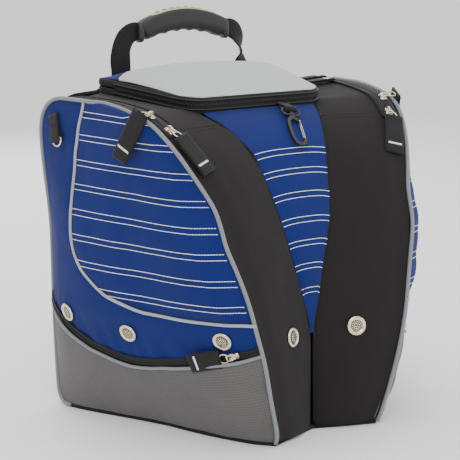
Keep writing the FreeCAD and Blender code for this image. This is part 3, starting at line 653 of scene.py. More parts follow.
def front_heights():
    """Heights of rows that are evenly spaced along the front edge, from the base to the top."""
    points = smooth_line([(y, z) for z, y in FRONT_EDGE], 6.0)
    heights = [BASE_TOP] + [z for y, z in points if z > BASE_TOP + 3]
    out = heights[:1]
    for z in heights[1:]:
        if z > out[-1] + 0.35:
            out.append(z)
    return out


def side_grid():
    columns = 52
    rows = []
    for z in front_heights():
        y0 = front_y(z) + 1.2
        y1 = max(y0 + 1.0, back_y(min(z, HEIGHT - 0.3)) - 1.2)
        rows.append([panel_point(lerp(y0, y1, k / columns), z)[0] for k in range(columns + 1)])
    return Build().rows(rows)


def fold_line():
    """Fold of a boot flap: middle, and the direction from the fixed side to the flap."""
    start = V((side_x(*FLAP_FRONT), *FLAP_FRONT))
    end = V((side_x(*FLAP_BACK), *FLAP_BACK))
    along = (end - start).normalized()
    outwards = (V((1, 0, 0)) - along * along.x).normalized()
    to_flap = along.cross(outwards).normalized()
    if to_flap.z < 0:
        to_flap = -to_flap
    return (start + end) / 2 + outwards * FOLD_SHIFT, to_flap


FOLD_MIDDLE, TO_FLAP = fold_line()
FOLD_REACH = 9.0
FOLD_BLEND = (FOLD_MIDDLE - TO_FLAP * FOLD_REACH, FOLD_MIDDLE + TO_FLAP * FOLD_REACH)

sides = pair("side_cloth", side_grid(), BLUE, "shell", ("side_panel", "boot_flap"), 1, 2.4,
             blend=FOLD_BLEND)
for ob in sides:
    ob.data.materials.append(MESH.material)
    for poly in ob.data.polygons:
        if poly.center.z < LINING_TOP * MM:
            poly.material_index = 1


def outline_line():
    """Seam round the side panel as points in space."""
    line = [(front_y(z), z) for z in front_heights()]
    top_front = line[-1][0]
    steps = 8
    line += [(lerp(top_front, Y_BACK - CORNER_TOP, k / steps), HEIGHT) for k in range(1, steps)]
    for k in range(13):
        a = math.radians(90 - 90 * k / 12)
        line.append((Y_BACK - CORNER_TOP + CORNER_TOP * math.cos(a),
                     HEIGHT - CORNER_TOP + CORNER_TOP * math.sin(a)))
    line += [(Y_BACK, z) for z in range(336, 26, -12)]
    for k in range(9):
        a = math.radians(90 * k / 8)
        line.append((Y_BACK - CORNER_LOW + CORNER_LOW * math.cos(a),
                     max(3.6, CORNER_LOW - CORNER_LOW * math.sin(a))))
    points = [V((side_x(y, min(z, HEIGHT - 0.2)) + 0.6, y, z)) for y, z in line]
    return resample(points, 6.0)


OUTLINE = outline_line()
pair("edge_piping", Build().tube(OUTLINE, 2.5, 10), PIPE, "shell", ("piping", "flap_piping"),
     blend=FOLD_BLEND)

accent = Build().tube([panel_point(y, z, 1.9)[0] for y, z in ACCENT_LINE], 2.0, 10)
pair("accent_piping", accent, ACCENT_PIPE, "shell", blend=FOLD_BLEND)

accent_seam = Build()
inner_line = [(y - 4.5, z + (4.5 if z < 175 else 0)) for y, z in ACCENT_LINE]
sew(accent_seam, inner_line, lambda y, z: panel_point(y, z), length=2.4, gap=1.4, width=0.7)
pair("accent_seam", accent_seam, DARK_THREAD, "shell", blend=FOLD_BLEND)

stitches = Build()
for z_row in STITCH_ROWS:
    for k in (0, 1):
        z = z_row - k * STITCH_PAIR
        y0 = front_y(z) + 4.5
        y1 = accent_y(z) - 3.0
        count = int((y1 - y0) / 1.0)
        sew(stitches, [(lerp(y0, y1, i / count), z) for i in range(count + 1)], lambda y,
            z: panel_point(y, z),
            length=2.9, gap=0.45, width=0.8, height=0.6)
pair("side_stitches", stitches, THREAD, "shell", blend=FOLD_BLEND)


def pocket_point(s, t, lift=0.0):
    """Place on the low pocket: s from front to back, t from the base to its top edge."""
    z = 60.0
    for _ in range(4):
        y = lerp(front_y(z) + 1.5, back_y(z) - 1.5, s)
        z = lerp(BASE_TOP, pocket_z(y), t)
    p, n = side_point(y, z, 0.0, recess=False)
    edge = math.sin(math.pi * min(1.0, max(0.0, s))) ** 0.5
    puff = 2.6 * edge * math.sin(math.pi * min(1.0, t * 0.85 + 0.05)) + wrinkle(p, 38.0, 1.5, 4.0) * edge
    run = p.y - front_y(p.z)
    puff += (POCKET_PADDING * smooth(run / 24.0) * (1 - smooth((run - 34.0) / 80.0))
             * math.sin(math.pi * t * 0.86))
    drag = 1.5 * math.sin((p.y * 0.6 + p.z) / 9.0) * math.exp(-((s - 0.03) / 0.10) ** 2) * t * (1 - t) * 4
    return p + n * (puff + drag + lift), n


def pocket_grid():
    columns, levels = 48, 20
    rows = []
    for i in range(levels + 1):
        rows.append([pocket_point(k / columns, i / levels)[0] for k in range(columns + 1)])
    return Build().rows(rows)


pair("pocket_cloth", pocket_grid(), MESH, "shell", ("pocket",), 1, 1.6)
pocket_edge = [pocket_point(k / 80.0, 1.0, 0.6)[0] for k in range(81)]
pair("pocket_piping", Build().tube(pocket_edge, 2.1, 10), PIPE, "shell")


def band_point(s, rise, lift):
    """Place on the zip band above the pocket's top edge, rise mm up from it."""
    p, _ = pocket_point(s, 1.0)
    y, z = p.y, p.z + rise
    q, n = side_point(min(max(y, front_y(z) + 2), back_y(z) - 2), z)
    return q + n * lift, n


band = []
for rise, lift in ((-4.0, 2.2), (0.0, 3.4), (3.0, 3.3), (6.0, 3.5), (9.0, 3.0), (13.0, 2.0)):
    band.append([band_point(k / 70.0, rise, lift)[0] for k in range(71)])
pair("pocket_zip_tape", Build().rows(band), TAPE, "shell", ("pocket_zipper",), 1, 0.8)


def zip_coil(points, normals, pitch=2.2, half=2.0, bulk=0.8):
    """Interlocked coil of a zip: short bars across the line, side by side."""
    build = Build()
    for i in range(1, len(points) - 1):
        along = (points[i + 1] - points[i - 1]).normalized()
        n = normals[i].normalized()
        side = n.cross(along).normalized()
        shift = side * (0.5 if i % 2 else -0.5)
        build.block(points[i] + shift, side, along, n, (2 * half, pitch * 0.62, bulk), 0.3)
    return build


def even_coil(place, steps, pitch=2.2, **kw):
    """Coil along place(t) -> (point, normal), t from 0 to 1."""
    dense = [place(k / float(steps)) for k in range(steps + 1)]
    points = resample([p for p, _ in dense], pitch)
    count = len(points)
    normals = [dense[min(steps, int(round(i * steps / max(1.0, count - 1.0))))][1] for i in range(count)]
    return zip_coil(points, normals, pitch, **kw)


pair("pocket_zip_coil", even_coil(lambda t: band_point(lerp(0.02, 0.98, t), 6.0, 3.9), 120), COIL, "shell")


def gusset_grid():
    rows = []
    steps = 5
    for i in range(LAST_STATION * steps + 1):
        s = i / float(steps)
        _, _, _, width = gusset_point(s, 10.0)
        row = []
        count = 22
        for k in range(count + 1):
            f = k / float(count)
            w = lerp(2.0, width, f)
            p, n, _, _ = gusset_point(s, w)
            edge = math.sin(math.pi * f) ** 0.6
            pucker = 0.7 * math.exp(-(w - 2) / 7.0) * math.sin(s * 9.0) * (1 if s < 9 else 0.3)
            row.append(p + n * ((wrinkle(p, 52.0, 2.0, 9.0) + pucker) * edge * lerp(1.0, 0.35,
                                                                                    smooth(s - 8.5))))
        rows.append(row)
    return Build().rows(rows, flip=True)


pair("gusset_cloth", gusset_grid(), BLACK, "shell", ("gusset",), 1, 2.4)


def gusset_stitches(s, w0, w1, shift):
    out = []
    count = 60
    for k in range(count + 1):
        p, n, along, _ = gusset_point(s, lerp(w0, w1, k / float(count)))
        out.append((p + along * shift + n * 0.4, n))
    return out


seam = Build()
for shift in (-3.2, 3.2):
    width = gusset_point(10.15, 10.0)[3]
    stitch_run(seam, gusset_stitches(10.15, 24.0, width - 3.0, shift), length=2.4, gap=1.4, width=0.8)
pair("gusset_seams", seam, DARK_THREAD, "shell")

# Boot zip beside the piping, from the cross seam to the back
TRACK_FIRST = 9.9
tape_rows = []
for i in range(60):
    s = lerp(TRACK_FIRST, LAST_STATION, i / 59.0)
    tape_rows.append([gusset_point(s, w, lift)[0] for w, lift in
                      ((5.0, 1.1), (8.5, 1.5), (12.0, 1.4), (15.0, 1.5), (18.0, 1.4), (22.0, 1.5),
                       (25.5, 0.9))])
pair("boot_zip_tape", Build().rows(tape_rows, flip=True), TAPE, "shell", ("boot_zipper",),
     0, 0.8)


def boot_track(t, w=15.0, lift=1.9):
    p, n, _, _ = gusset_point(lerp(TRACK_FIRST + 0.1, LAST_STATION - 0.1, t), w, lift)
    return p, n


pair("boot_zip_coil", even_coil(boot_track, 160), COIL, "shell")
fold_edge = [gusset_point(lerp(TRACK_FIRST, LAST_STATION, k / 50.0), 26.5, 1.4)[0] for k in range(51)]
pair("boot_zip_welt", Build().tube(fold_edge, 1.7, 8, 0.8), BLACK, "shell")


# ---- front panel between the toe gussets -------------------------------------------------------------

def front_point(f, z, lift=0.0):
    """Place on the middle front panel: f from -1 to 1 across."""
    x, y = curve(INNER_EDGE, z)
    up = V((0, curve(INNER_EDGE, z + 5)[1] - curve(INNER_EDGE, z - 5)[1], 10)).normalized()
    n = V((0, -up.z, up.y))
    row = (z - 175 + 3) / 27.6
    swell = 3.5 * (1 - f * f) * smooth((z - 135) / 60.0) * (1 - 0.8 * smooth((z - 300) / 35.0))
    if z > 176:
        swell += 1.2 * abs(math.sin(math.pi * row)) ** 0.6 * (1 - abs(f) ** 3)
    p = V((f * x, y, z))
    swell += wrinkle(p, 40.0, 1.2, 2.0) * (1 - f * f) * (1 - 0.8 * smooth((z - 300) / 35.0))
    return p + n * (swell + lift), n


rows = []
for z in list(range(120, 372, 6)) + [374, 379, 383]:
    rows.append([front_point(k / 12.0 - 1.0, z)[0] for k in range(25)])
front = Build().rows(rows).object("front_cloth", BLUE)
sub(thick(front, 2.2))
place(front, "shell", "blue_cloth", "front_panel")

FRONT_ROWS = (339, 316, 289, 261, 234, 206, 177)
stitches = Build()
for z_row in FRONT_ROWS:
    for k in (0, 1):
        z0 = z_row - k * 6.2
        places = []
        for i in range(121):
            f = lerp(-0.97, 0.97, i / 120.0)
            p, n = front_point(f, z0 - 3.0 * abs(f) ** 3)
            places.append((p + n * 0.35, n))
        stitch_run(stitches, places, length=2.9, gap=0.45, width=0.8, height=0.6)
place(stitches.object("front_stitches", THREAD), "shell", "grey_piping")

# Seam cords where the front panel and the gussets meet
for side, sign in SIDES:
    line = []
    for z in range(8, 380, 6):
        x, y = curve(INNER_EDGE, z)
        line.append(V(((x + 0.4) * sign, y + 0.6, z)))
    place(Build().tube(line, 1.2, 8).object(side + "_inner_seam", BLACK), "shell", "black_cloth")


# ---- base, back and inside ---------------------------------------------------------------------------

def base_outline():
    half = [V((0, -118, 0))]
    for k in range(30):
        y = lerp(-146, 129, k / 29.0)
        half.append(V((side_x(y, 0.5) - 0.8, y, 0)))
    for k in range(1, 9):
        a = math.radians(90 * k / 8)
        x0 = side_x(130, 1) - 18
        half.append(V((x0 + 17 * math.cos(a), 129 + 26 * math.sin(a), 0)))
    return half


half = base_outline()
ring = half + [V((-p.x, p.y, p.z)) for p in reversed(half[1:])]
base = Build()
centre = V((0, 10, 0))
levels = [(1.0, 4.3), (1.003, 3.4), (1.0, 0.9), (0.994, 0.2), (0.975, 0.0), (0.7, 0.0), (0.35, 0.0),
          (0.02, 0.0)]
base.rows([[V((centre.x + (p.x - centre.x) * k, centre.y + (p.y - centre.y) * k, h)) for p in ring]
           for k, h in levels], closed=True, flip=True, caps=True)
place(base.object("base_cloth", BLACK), "shell", "black_cloth", "base_panel")
binding = [V((p.x, p.y, 2.7)) for p in ring + ring[:1]]
place(Build().tube(binding, 2.3, 8).object("base_binding", BLACK), "shell", "black_cloth")


def back_half(z):
    """Half width of the back panel."""
    if z < 362:
        edge = side_x(Y_BACK, z) - 2.5
        if z < CORNER_LOW:
            edge -= 6.0 * (1 - z / CORNER_LOW)
        return edge
    table = [(362, side_x(Y_BACK, 362) - 2.5), (381, 196), (394, 166), (397, 131), (412, 127), (415, 100),
             (416, 60)]
    return curve(table, z)[0]


rows = []
for z in [BASE_TOP + 0.3] + list(range(10, 362, 12)) + [362, 372, 381, 388, 394, 397, 404, 412, 415.6]:
    half_width = back_half(z)
    row = []
    for k in range(33):
        f = k / 16.0 - 1.0
        quilt = 1.0 * math.cos(f * 14) * smooth((1 - abs(f)) * 6)
        p = V((f * half_width, Y_BACK + 3.8 + quilt, z))
        row.append(p + V((0, wrinkle(p, 60.0, 0.8, 5.0), 0)))
    rows.append(row)
back = Build().rows(rows, flip=True).object("back_cloth", BLACK)
sub(thick(back, 3.0))
place(back, "shell", "black_cloth", "back_panel")

binding = [V((back_half(z), Y_BACK + 1.6, z)) for z in range(8, 360, 8)]
binding += [V((back_half(z), Y_BACK + 1.6, z)) for z in (366, 374, 382, 389, 394, 396.5)]
pair("back_binding", Build().tube(binding, 2.4, 8), WEB, "shell")


def divider_grid():
    rows = []
    for z, z_back in ((5, 5), (60, 66), (127, 140), (206, 220), (261, 275), (316, 330), (339, 350),
                      (353, 366), (371, 385)):
        x, y = curve(INNER_EDGE, z)
        a = V((x + 2.2, y + 9, z))
        b = V((lerp(70, 122, z_back / HEIGHT) + 1.2, Y_BACK - 0.6, z_back))
        row = []
        for k in range(19):
            p = a.lerp(b, k / 18.0)
            row.append(p + V((wrinkle(p, 70.0, 0.5, 3.0), 0, 0)))
        rows.append(row)
    return Build().rows(rows)


pair("divider_cloth", divider_grid(), BLACK_STRIPE, "shell", ("divider",), 1, 2.0)


# ---- lid ---------------------------------------------------------------------------------------------

LID_FRONT_Y = -7.0
LID_FRONT_HALF = 107.0
LID_BACK_HALF = 131.0
LID_CORNER = 32.0
LID_HINGE_Y = 126.0
LID_SEAM_FRONT_Z = 391.0
LID_SEAM_RISE = 0.085
LID_PROFILE = [(-60, 372), (-7, 401), (25, 414), (70, 425), (110, 430), (156, 424), (220, 400)]
BAND = 9.5


def lid_seam(y):
    return LID_SEAM_FRONT_Z + LID_SEAM_RISE * (y - LID_FRONT_Y)


def lid_half(y):
    """Half width of the lid's plan at y."""
    r = LID_CORNER
    d = r - (y - LID_FRONT_Y)
    if d > 0:
        return LID_FRONT_HALF - r + math.sqrt(max(0.0, r * r - d * d))
    t = (y - LID_FRONT_Y - r) / (Y_BACK - LID_FRONT_Y - r)
    return lerp(LID_FRONT_HALF, LID_BACK_HALF, t)


def lid_outline(step=5.0, y_end=Y_BACK - 1.0):
    """Right half of the plan, from the middle of the front round to the back, as (point, outward normal)."""
    line = [(x, LID_FRONT_Y) for x in range(0, int(LID_FRONT_HALF - LID_CORNER), 5)]
    for k in range(13):
        a = math.radians(-90 + 84 * k / 12)
        line.append((LID_FRONT_HALF - LID_CORNER + LID_CORNER * math.cos(a),
                     LID_FRONT_Y + LID_CORNER + LID_CORNER * math.sin(a)))
    y = LID_FRONT_Y + LID_CORNER + 4
    while y < y_end:
        line.append((lid_half(y), y))
        y += 5.0
    line.append((lid_half(y_end), y_end))
    points = [V((x, y, lid_seam(y))) for x, y in line]
    points = resample(points, step)
    out = []
    for i, p in enumerate(points):
        d = points[min(i + 1, len(points) - 1)] - points[max(i - 1, 0)]
        out.append((p, V((d.y, -d.x, 0)).normalized()))
    return out


def lid_ring(y_end=Y_BACK - 1.0, step=5.0):
    """Whole outline, from the left back corner round the front to the right back corner."""
    right = lid_outline(step, y_end)
    left = [(V((-p.x, p.y, p.z)), V((-n.x, n.y, 0))) for p, n in reversed(right[1:])]
    return left + right


def lid_band(name, profile, material, body, slot_name, y_end=Y_BACK - 1.0, nodes=(), thickness=1.2,
             split=None):
    """Band round the lid's outline. profile is (outwards, up) pairs from its top to its bottom."""
    ring = lid_ring(y_end)
    rows = [[p + n * out + V((0, 0, up)) for p, n in ring] for out, up in profile]
    ob = Build().rows(rows, flip=True).object(name, material)
    if thickness:
        thick(ob, thickness)
    if split:
        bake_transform(ob)
        if nodes:
            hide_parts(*nodes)
    else:
        place(ob, body, slot_name, *nodes)
    return ob


LID_FOLD = ((0, 0.136, 0.43), (0, 0.116, 0.43))
lid_band("lid_lower_band", [(0.2, -0.8), (0.9, -2.2), (0.9, -5.5), (0.6, -8.2), (0.0, -10.5)], TAPE, "shell",
         "black_zipper", nodes=("lid_rim",))
lid_band("lid_upper_band", [(-1.4, BAND + 0.4), (0.4, BAND - 1.0), (1.0, 6.0), (1.1, 3.0), (0.3, 0.8)],
         TAPE, "lid",
         "black_zipper", split=LID_FOLD)


def ring_place(t, out=0.6, up=0.0):
    ring = lid_ring(LID_HINGE_Y, 5.0)
    i = t * (len(ring) - 1)
    k = min(int(i), len(ring) - 2)
    p = ring[k][0].lerp(ring[k + 1][0], i - k)
    n = ring[k][1].lerp(ring[k + 1][1], i - k).normalized()
    return p + n * out + V((0, 0, up)), n


place(even_coil(lambda t: ring_place(t, 1.3, 0.0), 150, half=1.8).object("lid_zip_coil", COIL), "shell",
      "black_zipper")
for name, up, radius, body in (("lid_zip_cord_low", -5.2, 1.1, "shell"),
                               ("lid_zip_cord_high", 5.8, 1.1, "lid")):
    line = [ring_place(k / 90.0, 1.6, up)[0] for k in range(91)]
    place(Build().tube(line, radius, 8).object(name, COIL), body, "black_zipper")


def crown_height(x, y):
    """Padded top of the lid: rises from the band, falls away to the front and to the sides."""
    half = lid_half(y)
    edge = min(half - abs(x), (y - LID_FRONT_Y) * 1.0, (Y_BACK - y) * 1.3)
    e = min(1.0, max(0.0, edge / 30.0))
    rise = math.sqrt(max(0.0, 1 - (1 - e) ** 2))
    top = curve(LID_PROFILE, y)[0] - 12.0 * (x / 131.0) ** 2 + 1.0
    low = lid_seam(y) + BAND
    return low + max(0.0, top - low) * rise


rows = []
lid_rows = [LID_FRONT_Y + 0.6, -5, -2.5, 1, 5, 10] + list(range(14, 152, 2)) + [Y_BACK - 1.4]
for y in lid_rows:
    half = lid_half(max(y, LID_FRONT_Y + 0.6)) - 1.0
    row = []
    for k in range(101):
        f = k / 50.0 - 1.0
        f = math.copysign(1 - (1 - abs(f)) ** 1.35, f)
        x = f * half
        p = V((x, y, crown_height(x, y)))
        inner = smooth((1 - abs(f)) * 4) * smooth((y - LID_FRONT_Y) / 30.0)
        row.append(p + V((0, 0, wrinkle(p, 55.0, 1.1, 6.0) * inner)))
    rows.append(row)
build = Build().rows(rows)


PANEL_X = 150.0           # pale panel: a superellipse that leaves the lid's back corners blue
PANEL_Y = 60.0
PANEL_RUN = 86.0
PANEL_POWER = 2.6


def in_pale_panel(p):
    """The pale centre panel of the lid: a wide oval that leaves the back corners blue."""
    return (abs(p.x) / PANEL_X) ** PANEL_POWER + (max(0.0, p.y - PANEL_Y) / PANEL_RUN) ** PANEL_POWER < 1.0


lid_top = build.object("lid_cloth", PALE)
lid_top.data.materials.append(BLUE.material)
for poly in lid_top.data.polygons:
    if not in_pale_panel(poly.center / MM):
        poly.material_index = 1
thick(lid_top, 2.6)
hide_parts("lid", "lid_rear")
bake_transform(lid_top)


# ---- places of the moving hardware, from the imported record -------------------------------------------

JOINTS = {j["name"]: j for j in frame["record"]["behaviour"]["joints"]}
PIN_UP = 4.1
PLATE_END = 16.5


def hinge(name):
    """Place in mm and axis of a hinge."""
    j = JOINTS[name]
    return V(j["pos_m"]) / MM, V(j["axis"]).normalized()


def hinge_frame(name, normal):
    """Place, pointing direction and normal of a piece that hangs on a hinge."""
    pin, axis = hinge(name)
    n = (normal - axis * normal.dot(axis)).normalized()
    return pin, n.cross(axis).normalized(), n


def slider_build(pin, track, normal, pull_dir):
    """Zip slider: waisted body on the track, crown with the arch that holds the pull."""
    n = normal.normalized()
    o = pin - n * PIN_UP
    x = (track - n * track.dot(n)).normalized()
    y = n.cross(x)
    b = Build()
    b.block(o + n * 0.8, x, y, n, (13.4, 6.4, 1.7), 0.35)
    b.block(o + n * 0.8 - x * 4.3, x, y, n, (4.4, 8.8, 1.8), 0.4)
    b.block(o + n * 0.8 + x * 3.2, x, y, n, (6.2, 7.8, 1.8), 0.4)
    b.block(o + n * 2.3, x, y, n, (10.4, 6.6, 1.3), 0.45)
    b.block(o + n * 3.0 - x * 0.3, x, y, n, (7.4, 3.6, 0.9), 0.45)
    p = (pull_dir - n * pull_dir.dot(n)).normalized()
    arch = [o + p * a + n * c for a,
            c in ((-4.4, 2.4), (-4.2, 4.4), (-2.8, 6.0), (-0.4, 6.7), (2.2, 6.2), (3.9, 4.6),
                                           (4.2, 2.4))]
    b.tube(arch, 1.0, 8, 1.5, n.cross(p))
    return b


def link_build(pin, x, n):
    """Metal link: a pin through the slider's arch and a keyhole plate that holds the webbing."""
    y = n.cross(x)
    b = Build()
    b.tube([pin - y * 3.0, pin + y * 3.0], 0.9, 10)
    loop = [(0, 2.9), (3.5, 3.1), (6.5, 3.6), (9.0, 5.0), (12.5, 5.6), (15.2, 5.2), (16.6, 3.0), (16.8, 0.0)]
    loop += [(a, -c) for a, c in reversed(loop[:-1])]
    b.tube([pin + x * a + y * c for a, c in loop], 0.95, 8, 0.85, n)
    b.block(pin + x * 7.6, x, y, n, (2.2, 6.8, 1.5), 0.4)
    return b


def tab_build(start, end, n, width=23.5, body=1.5):
    """Folded webbing tab of a pull, wrapped round the link, with its end turned over."""
    x = (end - start).normalized()
    n = (n - x * n.dot(x)).normalized()
    length = (end - start).length
    b = Build()
    upper = [start + x * a + n * c for a,
             c in ((-1.2, -0.2), (-2.4, 0.2), (-2.2, 1.1), (0.5, 1.55), (4, 1.15))]
    upper += [start + x * (4 + (length - 5.5) * k / 6.0) + n * (0.95 + 0.5 * math.sin(math.pi * k / 6.0))
              for k in range(1, 7)]
    upper += [start + x * (length - 0.6) + n * 0.7, start + x * length - n * 0.1]
    b.strap(upper, n, width, body)
    lower = [start - x * 1.2 - n * 0.2, start + x * 3 - n * 1.0]
    lower += [start + x * (3 + (length - 4.5) * k / 5.0) - n * 0.75 for k in range(1, 6)]
    lower += [start + x * (length - 0.3) - n * 0.3]
    b.strap(lower, n, width - 0.3, body * 0.9)
    return b


def tab_stitches(start, end, n, width):
    """White bartack across the free end."""
    x = (end - start).normalized()
    n = (n - x * n.dot(x)).normalized()
    y = n.cross(x)
    length = (end - start).length
    white = Build()
    top = start + x * (length * 0.76) + n * 2.05
    half = 0.36 * width
    for k in range(16):
        across = lerp(-half, half, k / 15.0)
        white.block(top + y * across + x * (0.35 * (-1) ** k), x, y, n, (2.2, 1.15, 0.7), 0.35)
    return white


def straight_places(a, b, n, step=0.6):
    count = max(2, int((b - a).length / step))
    return [(a.lerp(b, k / float(count)), n) for k in range(count + 1)]


PULL_WIDTH = 23.5
LID_PULL_WIDTH = 16.5


def pull_set(pin, x, n, end, tab_n, width=PULL_WIDTH):
    """The three builds of a pull."""
    start = pin + x * (PLATE_END + 1.6)
    return link_build(pin, x, n), tab_build(start, end, tab_n, width), tab_stitches(start, end, tab_n, width)


def pull_pair(label, pin, x, n, end, tab_n):
    link, tab, white = pull_set(pin, x, n, end, tab_n)
    pair(label + "_link", link, NICKEL, label, (label,))
    pair(label + "_tab", tab, WEB, label)
    pair(label + "_bartack", white, THREAD, label)


# Free ends of the pulls: place on the panel or gusset, and how far off it
REAR_PULL_END = (-13, 338, 14.5)
FRONT_PULL_END = (7.95, 20.0, 3.6)
POCKET_PULL_END = (-82, 103, 8.5)
LID_PULL_LENGTH = 56
LID_PULL_LIFT = 3
# Places of the sliders at rest
REAR_SLIDER = (11.0, 12.0, 1.6)
FRONT_SLIDER = (10.2, 15.5, 1.6)
POCKET_SLIDER = (-132, 116, 2.2)

# Boot zips
_, n, along, _ = gusset_point(*REAR_SLIDER)
pin, x, n = hinge_frame("right_rear_pull", n)
pair("rear_slider_metal", slider_build(pin, along, n, x), NICKEL, "rear_slider", ("rear_slider",))
end, end_n = side_point(*REAR_PULL_END)
pull_pair("rear_pull", pin, x, n, end, end_n)

_, n, along, _ = gusset_point(*FRONT_SLIDER)
pin, x, n = hinge_frame("right_front_pull", n)
pair("front_slider_metal", slider_build(pin, along, n, x), NICKEL, "front_slider",
     ("front_slider",))
end, end_n, _, _ = gusset_point(*FRONT_PULL_END)
pull_pair("front_pull", pin, x, n, end, end_n)

# Pocket zips
_, n = side_point(*POCKET_SLIDER)
pin, x, n = hinge_frame("right_pocket_pull", n)
pair("pocket_slider_metal", slider_build(pin, x, n, x), NICKEL, "pocket_slider", ("pocket_slider",))
end, _ = side_point(*POCKET_PULL_END)
pull_pair("pocket_pull", pin, x, n, end, n)

# Lid zip
for label in ("rear", "front"):
    pin, x, n = hinge_frame("lid_pull_" + label, V((0, 0, 1)))
    track = V(JOINTS["lid_slider_" + label]["axis"])
    slider = slider_build(pin, track, x, V((0, 0, -1)))
    place(slider.object("lid_slider_metal_" + label, NICKEL), "lid_slider_" + label, "nickel",
          "lid_slider_" + label)
    link, tab, white = pull_set(pin, x, n, pin + x * LID_PULL_LENGTH + V((0, 0, LID_PULL_LIFT)), n,
                                LID_PULL_WIDTH)
    body = "lid_pull_" + label
    place(link.object(body + "_link", NICKEL), body, "nickel", body)
    place(tab.object(body + "_tab", WEB), body, "black_webbing")
    place(white.object(body + "_bartack", THREAD), body, "grey_piping")

# D-ring high on each side
top, n = side_point(121, 378, 1.2)
bar, x, n = hinge_frame("right_d_ring", n)
across = n.cross(x)
loop = [bar + across * c for c in (-8.5, -4, 0, 4, 8.5)]
loop += [bar + across * (8.5 * math.cos(a)) + x * (8.5 * math.sin(a))
         for a in (math.pi * k / 14 for k in range(1, 14))]
loop += [loop[0], loop[1]]
pair("d_ring_wire", Build().tube(loop, 1.35, 10), NICKEL, "d_ring", ("d_ring",))
tab_line = [top + n * 1.4, top.lerp(bar, 0.5) + n * 1.6, bar - x * 3 + n * 2.3, bar + n * 2.7,
            bar + x * 2.4 + n * 1.2,
            bar + x * 2.5 - n * 1.0, bar - n * 2.2, bar - x * 5 - n * 1.9]
pair("ring_tab_web", Build().strap(tab_line, [n, n, n, n, (n + x * 1.5), (x - n * 0.5), -n + x * 0.2, -n],
                                   17.5, 1.6), WEB, "flap",
     ("ring_tab",))
box_stitch = Build()
for a, b in (((4, -7), (4, 7)), ((4, 7), (14, 7)), ((14, 7), (14, -7)), ((14, -7), (4, -7))):
    p, q = (top + (bar - top).normalized() * k[0] + across * k[1] + n * 2.6 for k in (a, b))
    stitch_run(box_stitch, straight_places(p, q, n), length=1.8, gap=0.9, width=0.6)
pair("ring_tab_seam", box_stitch, DARK_THREAD, "flap")


# ---- vents -------------------------------------------------------------------------------------------

def vent_build(origin, n):
    """Eyelet: flat rolled rim and a dished disc. The holes are painted shade: flat dark discs, a build of
    their own.
    """
    rim = Build().lathe(origin, n,
                        [(11.8, -0.8), (11.9, 0.4), (11.4, 1.2), (10.2, 1.7), (8.8, 1.6), (8.0, 1.15),
                                    (7.4, 0.7), (5.0, 0.9), (2.0, 1.1), (0.4, 1.15)], 40)
    hole_shade = Build()
    a = n.orthogonal().normalized()
    b = n.cross(a)
    # Each hole is painted shade: a flat dark disc raised on the eyelet's dish, not an opening.
    for ring, count in ((0.0, 1), (2.35, 6), (4.6, 12), (6.6, 18)):
        for k in range(count):
            t = 2 * math.pi * k / count + ring
            p = origin + a * (ring * math.cos(t)) + b * (ring * math.sin(t))
            high = lerp(1.25, 0.86, ring / 7.0)
            hole_shade.lathe(p + n * high, n, [(0.98, -0.4), (0.98, 0.0), (0.3, 0.03)], 8)
    return rim, hole_shade


rims, hole_shade = Build(), Build()


def merge(target, source):
    start = len(target.verts)
    target.verts += source.verts
    target.uvs += source.uvs
    target.faces += [tuple(i + start for i in f) for f in source.faces]


vent_frames = [side_point(y, z, 1.2) for y, z in VENT_PLACES]
p, n, _, _ = gusset_point(3.15, 62.0, 0.8)
vent_frames.append((p, n))
for p, n in vent_frames:
    rim, dark = vent_build(p, n)
    merge(rims, rim)
    merge(hole_shade, dark)
pair("vent_rims", rims, NICKEL, "shell", ("vents",))
# The vent holes are painted shade: dark discs on the eyelets, not openings.
pair("vent_hole_shade", hole_shade, HOLE_SHADE, "shell")


# ---- snap hook on the front --------------------------------------------------------------------------

HOOK_BAR = V((30, -24, 374))
HOOK_AIM = V((13, -72, 333))
HOOK_LIFT = 9.2
hook_down = HOOK_AIM - HOOK_BAR
hook_n = V((0, hook_down.z, -hook_down.y)).normalized()
hook_down = (hook_down - hook_n * hook_down.dot(hook_n)).normalized()
hook_y = hook_n.cross(hook_down)
hook_bar = HOOK_BAR + hook_n * HOOK_LIFT


def hook_at(x, y, z=0.0):
    return hook_bar + hook_down * x + hook_y * y + hook_n * z


web_line = [hook_at(-25, 0, -12.5), hook_at(-17, 0, -8.0), hook_at(-9, 0, -2.5), hook_at(-3, 0, 2.0),
            hook_at(0.5, 0, 3.0),
            hook_at(3.1, 0, 0.8), hook_at(2.2, 0, -2.3), hook_at(-3, 0, -4.0), hook_at(-11, 0, -7.0)]
web_n = [hook_n + hook_down * 0.5, hook_n + hook_down * 0.5, hook_n + hook_down * 0.5, hook_n,
         hook_n + hook_down * 0.4,
         hook_down, -hook_n + hook_down * 0.6, -hook_n - hook_down * 0.5, -hook_n - hook_down * 0.5]
tab = Build().strap(web_line, [-k for k in web_n], 16.5, 1.5)
place(tab.object("hook_tab_web", WEB), "shell", "black_webbing", "hook_tab")

eye_loop = [(0, 0), (0, 8), (1, 11.2), (4, 12.2), (7.5, 11.2), (9.8, 7.5), (10.4, 3), (10.4, 0)]
eye_loop = eye_loop + [(a, -c) for a, c in reversed(eye_loop[1:-1])] + [(0, 0), (0, 3)]
eye = Build().tube([hook_at(a, c) for a, c in eye_loop], 1.75, 10)
eye.lathe(hook_at(8.6, 0), hook_down, [(2.2, 0), (3.9, 0.5), (4.1, 1.8), (3.6, 3.2), (2.4, 3.6)], 16)
place(eye.object("hook_eye_loop", PLASTIC), "hook_eye", "black_plastic", "hook_eye")

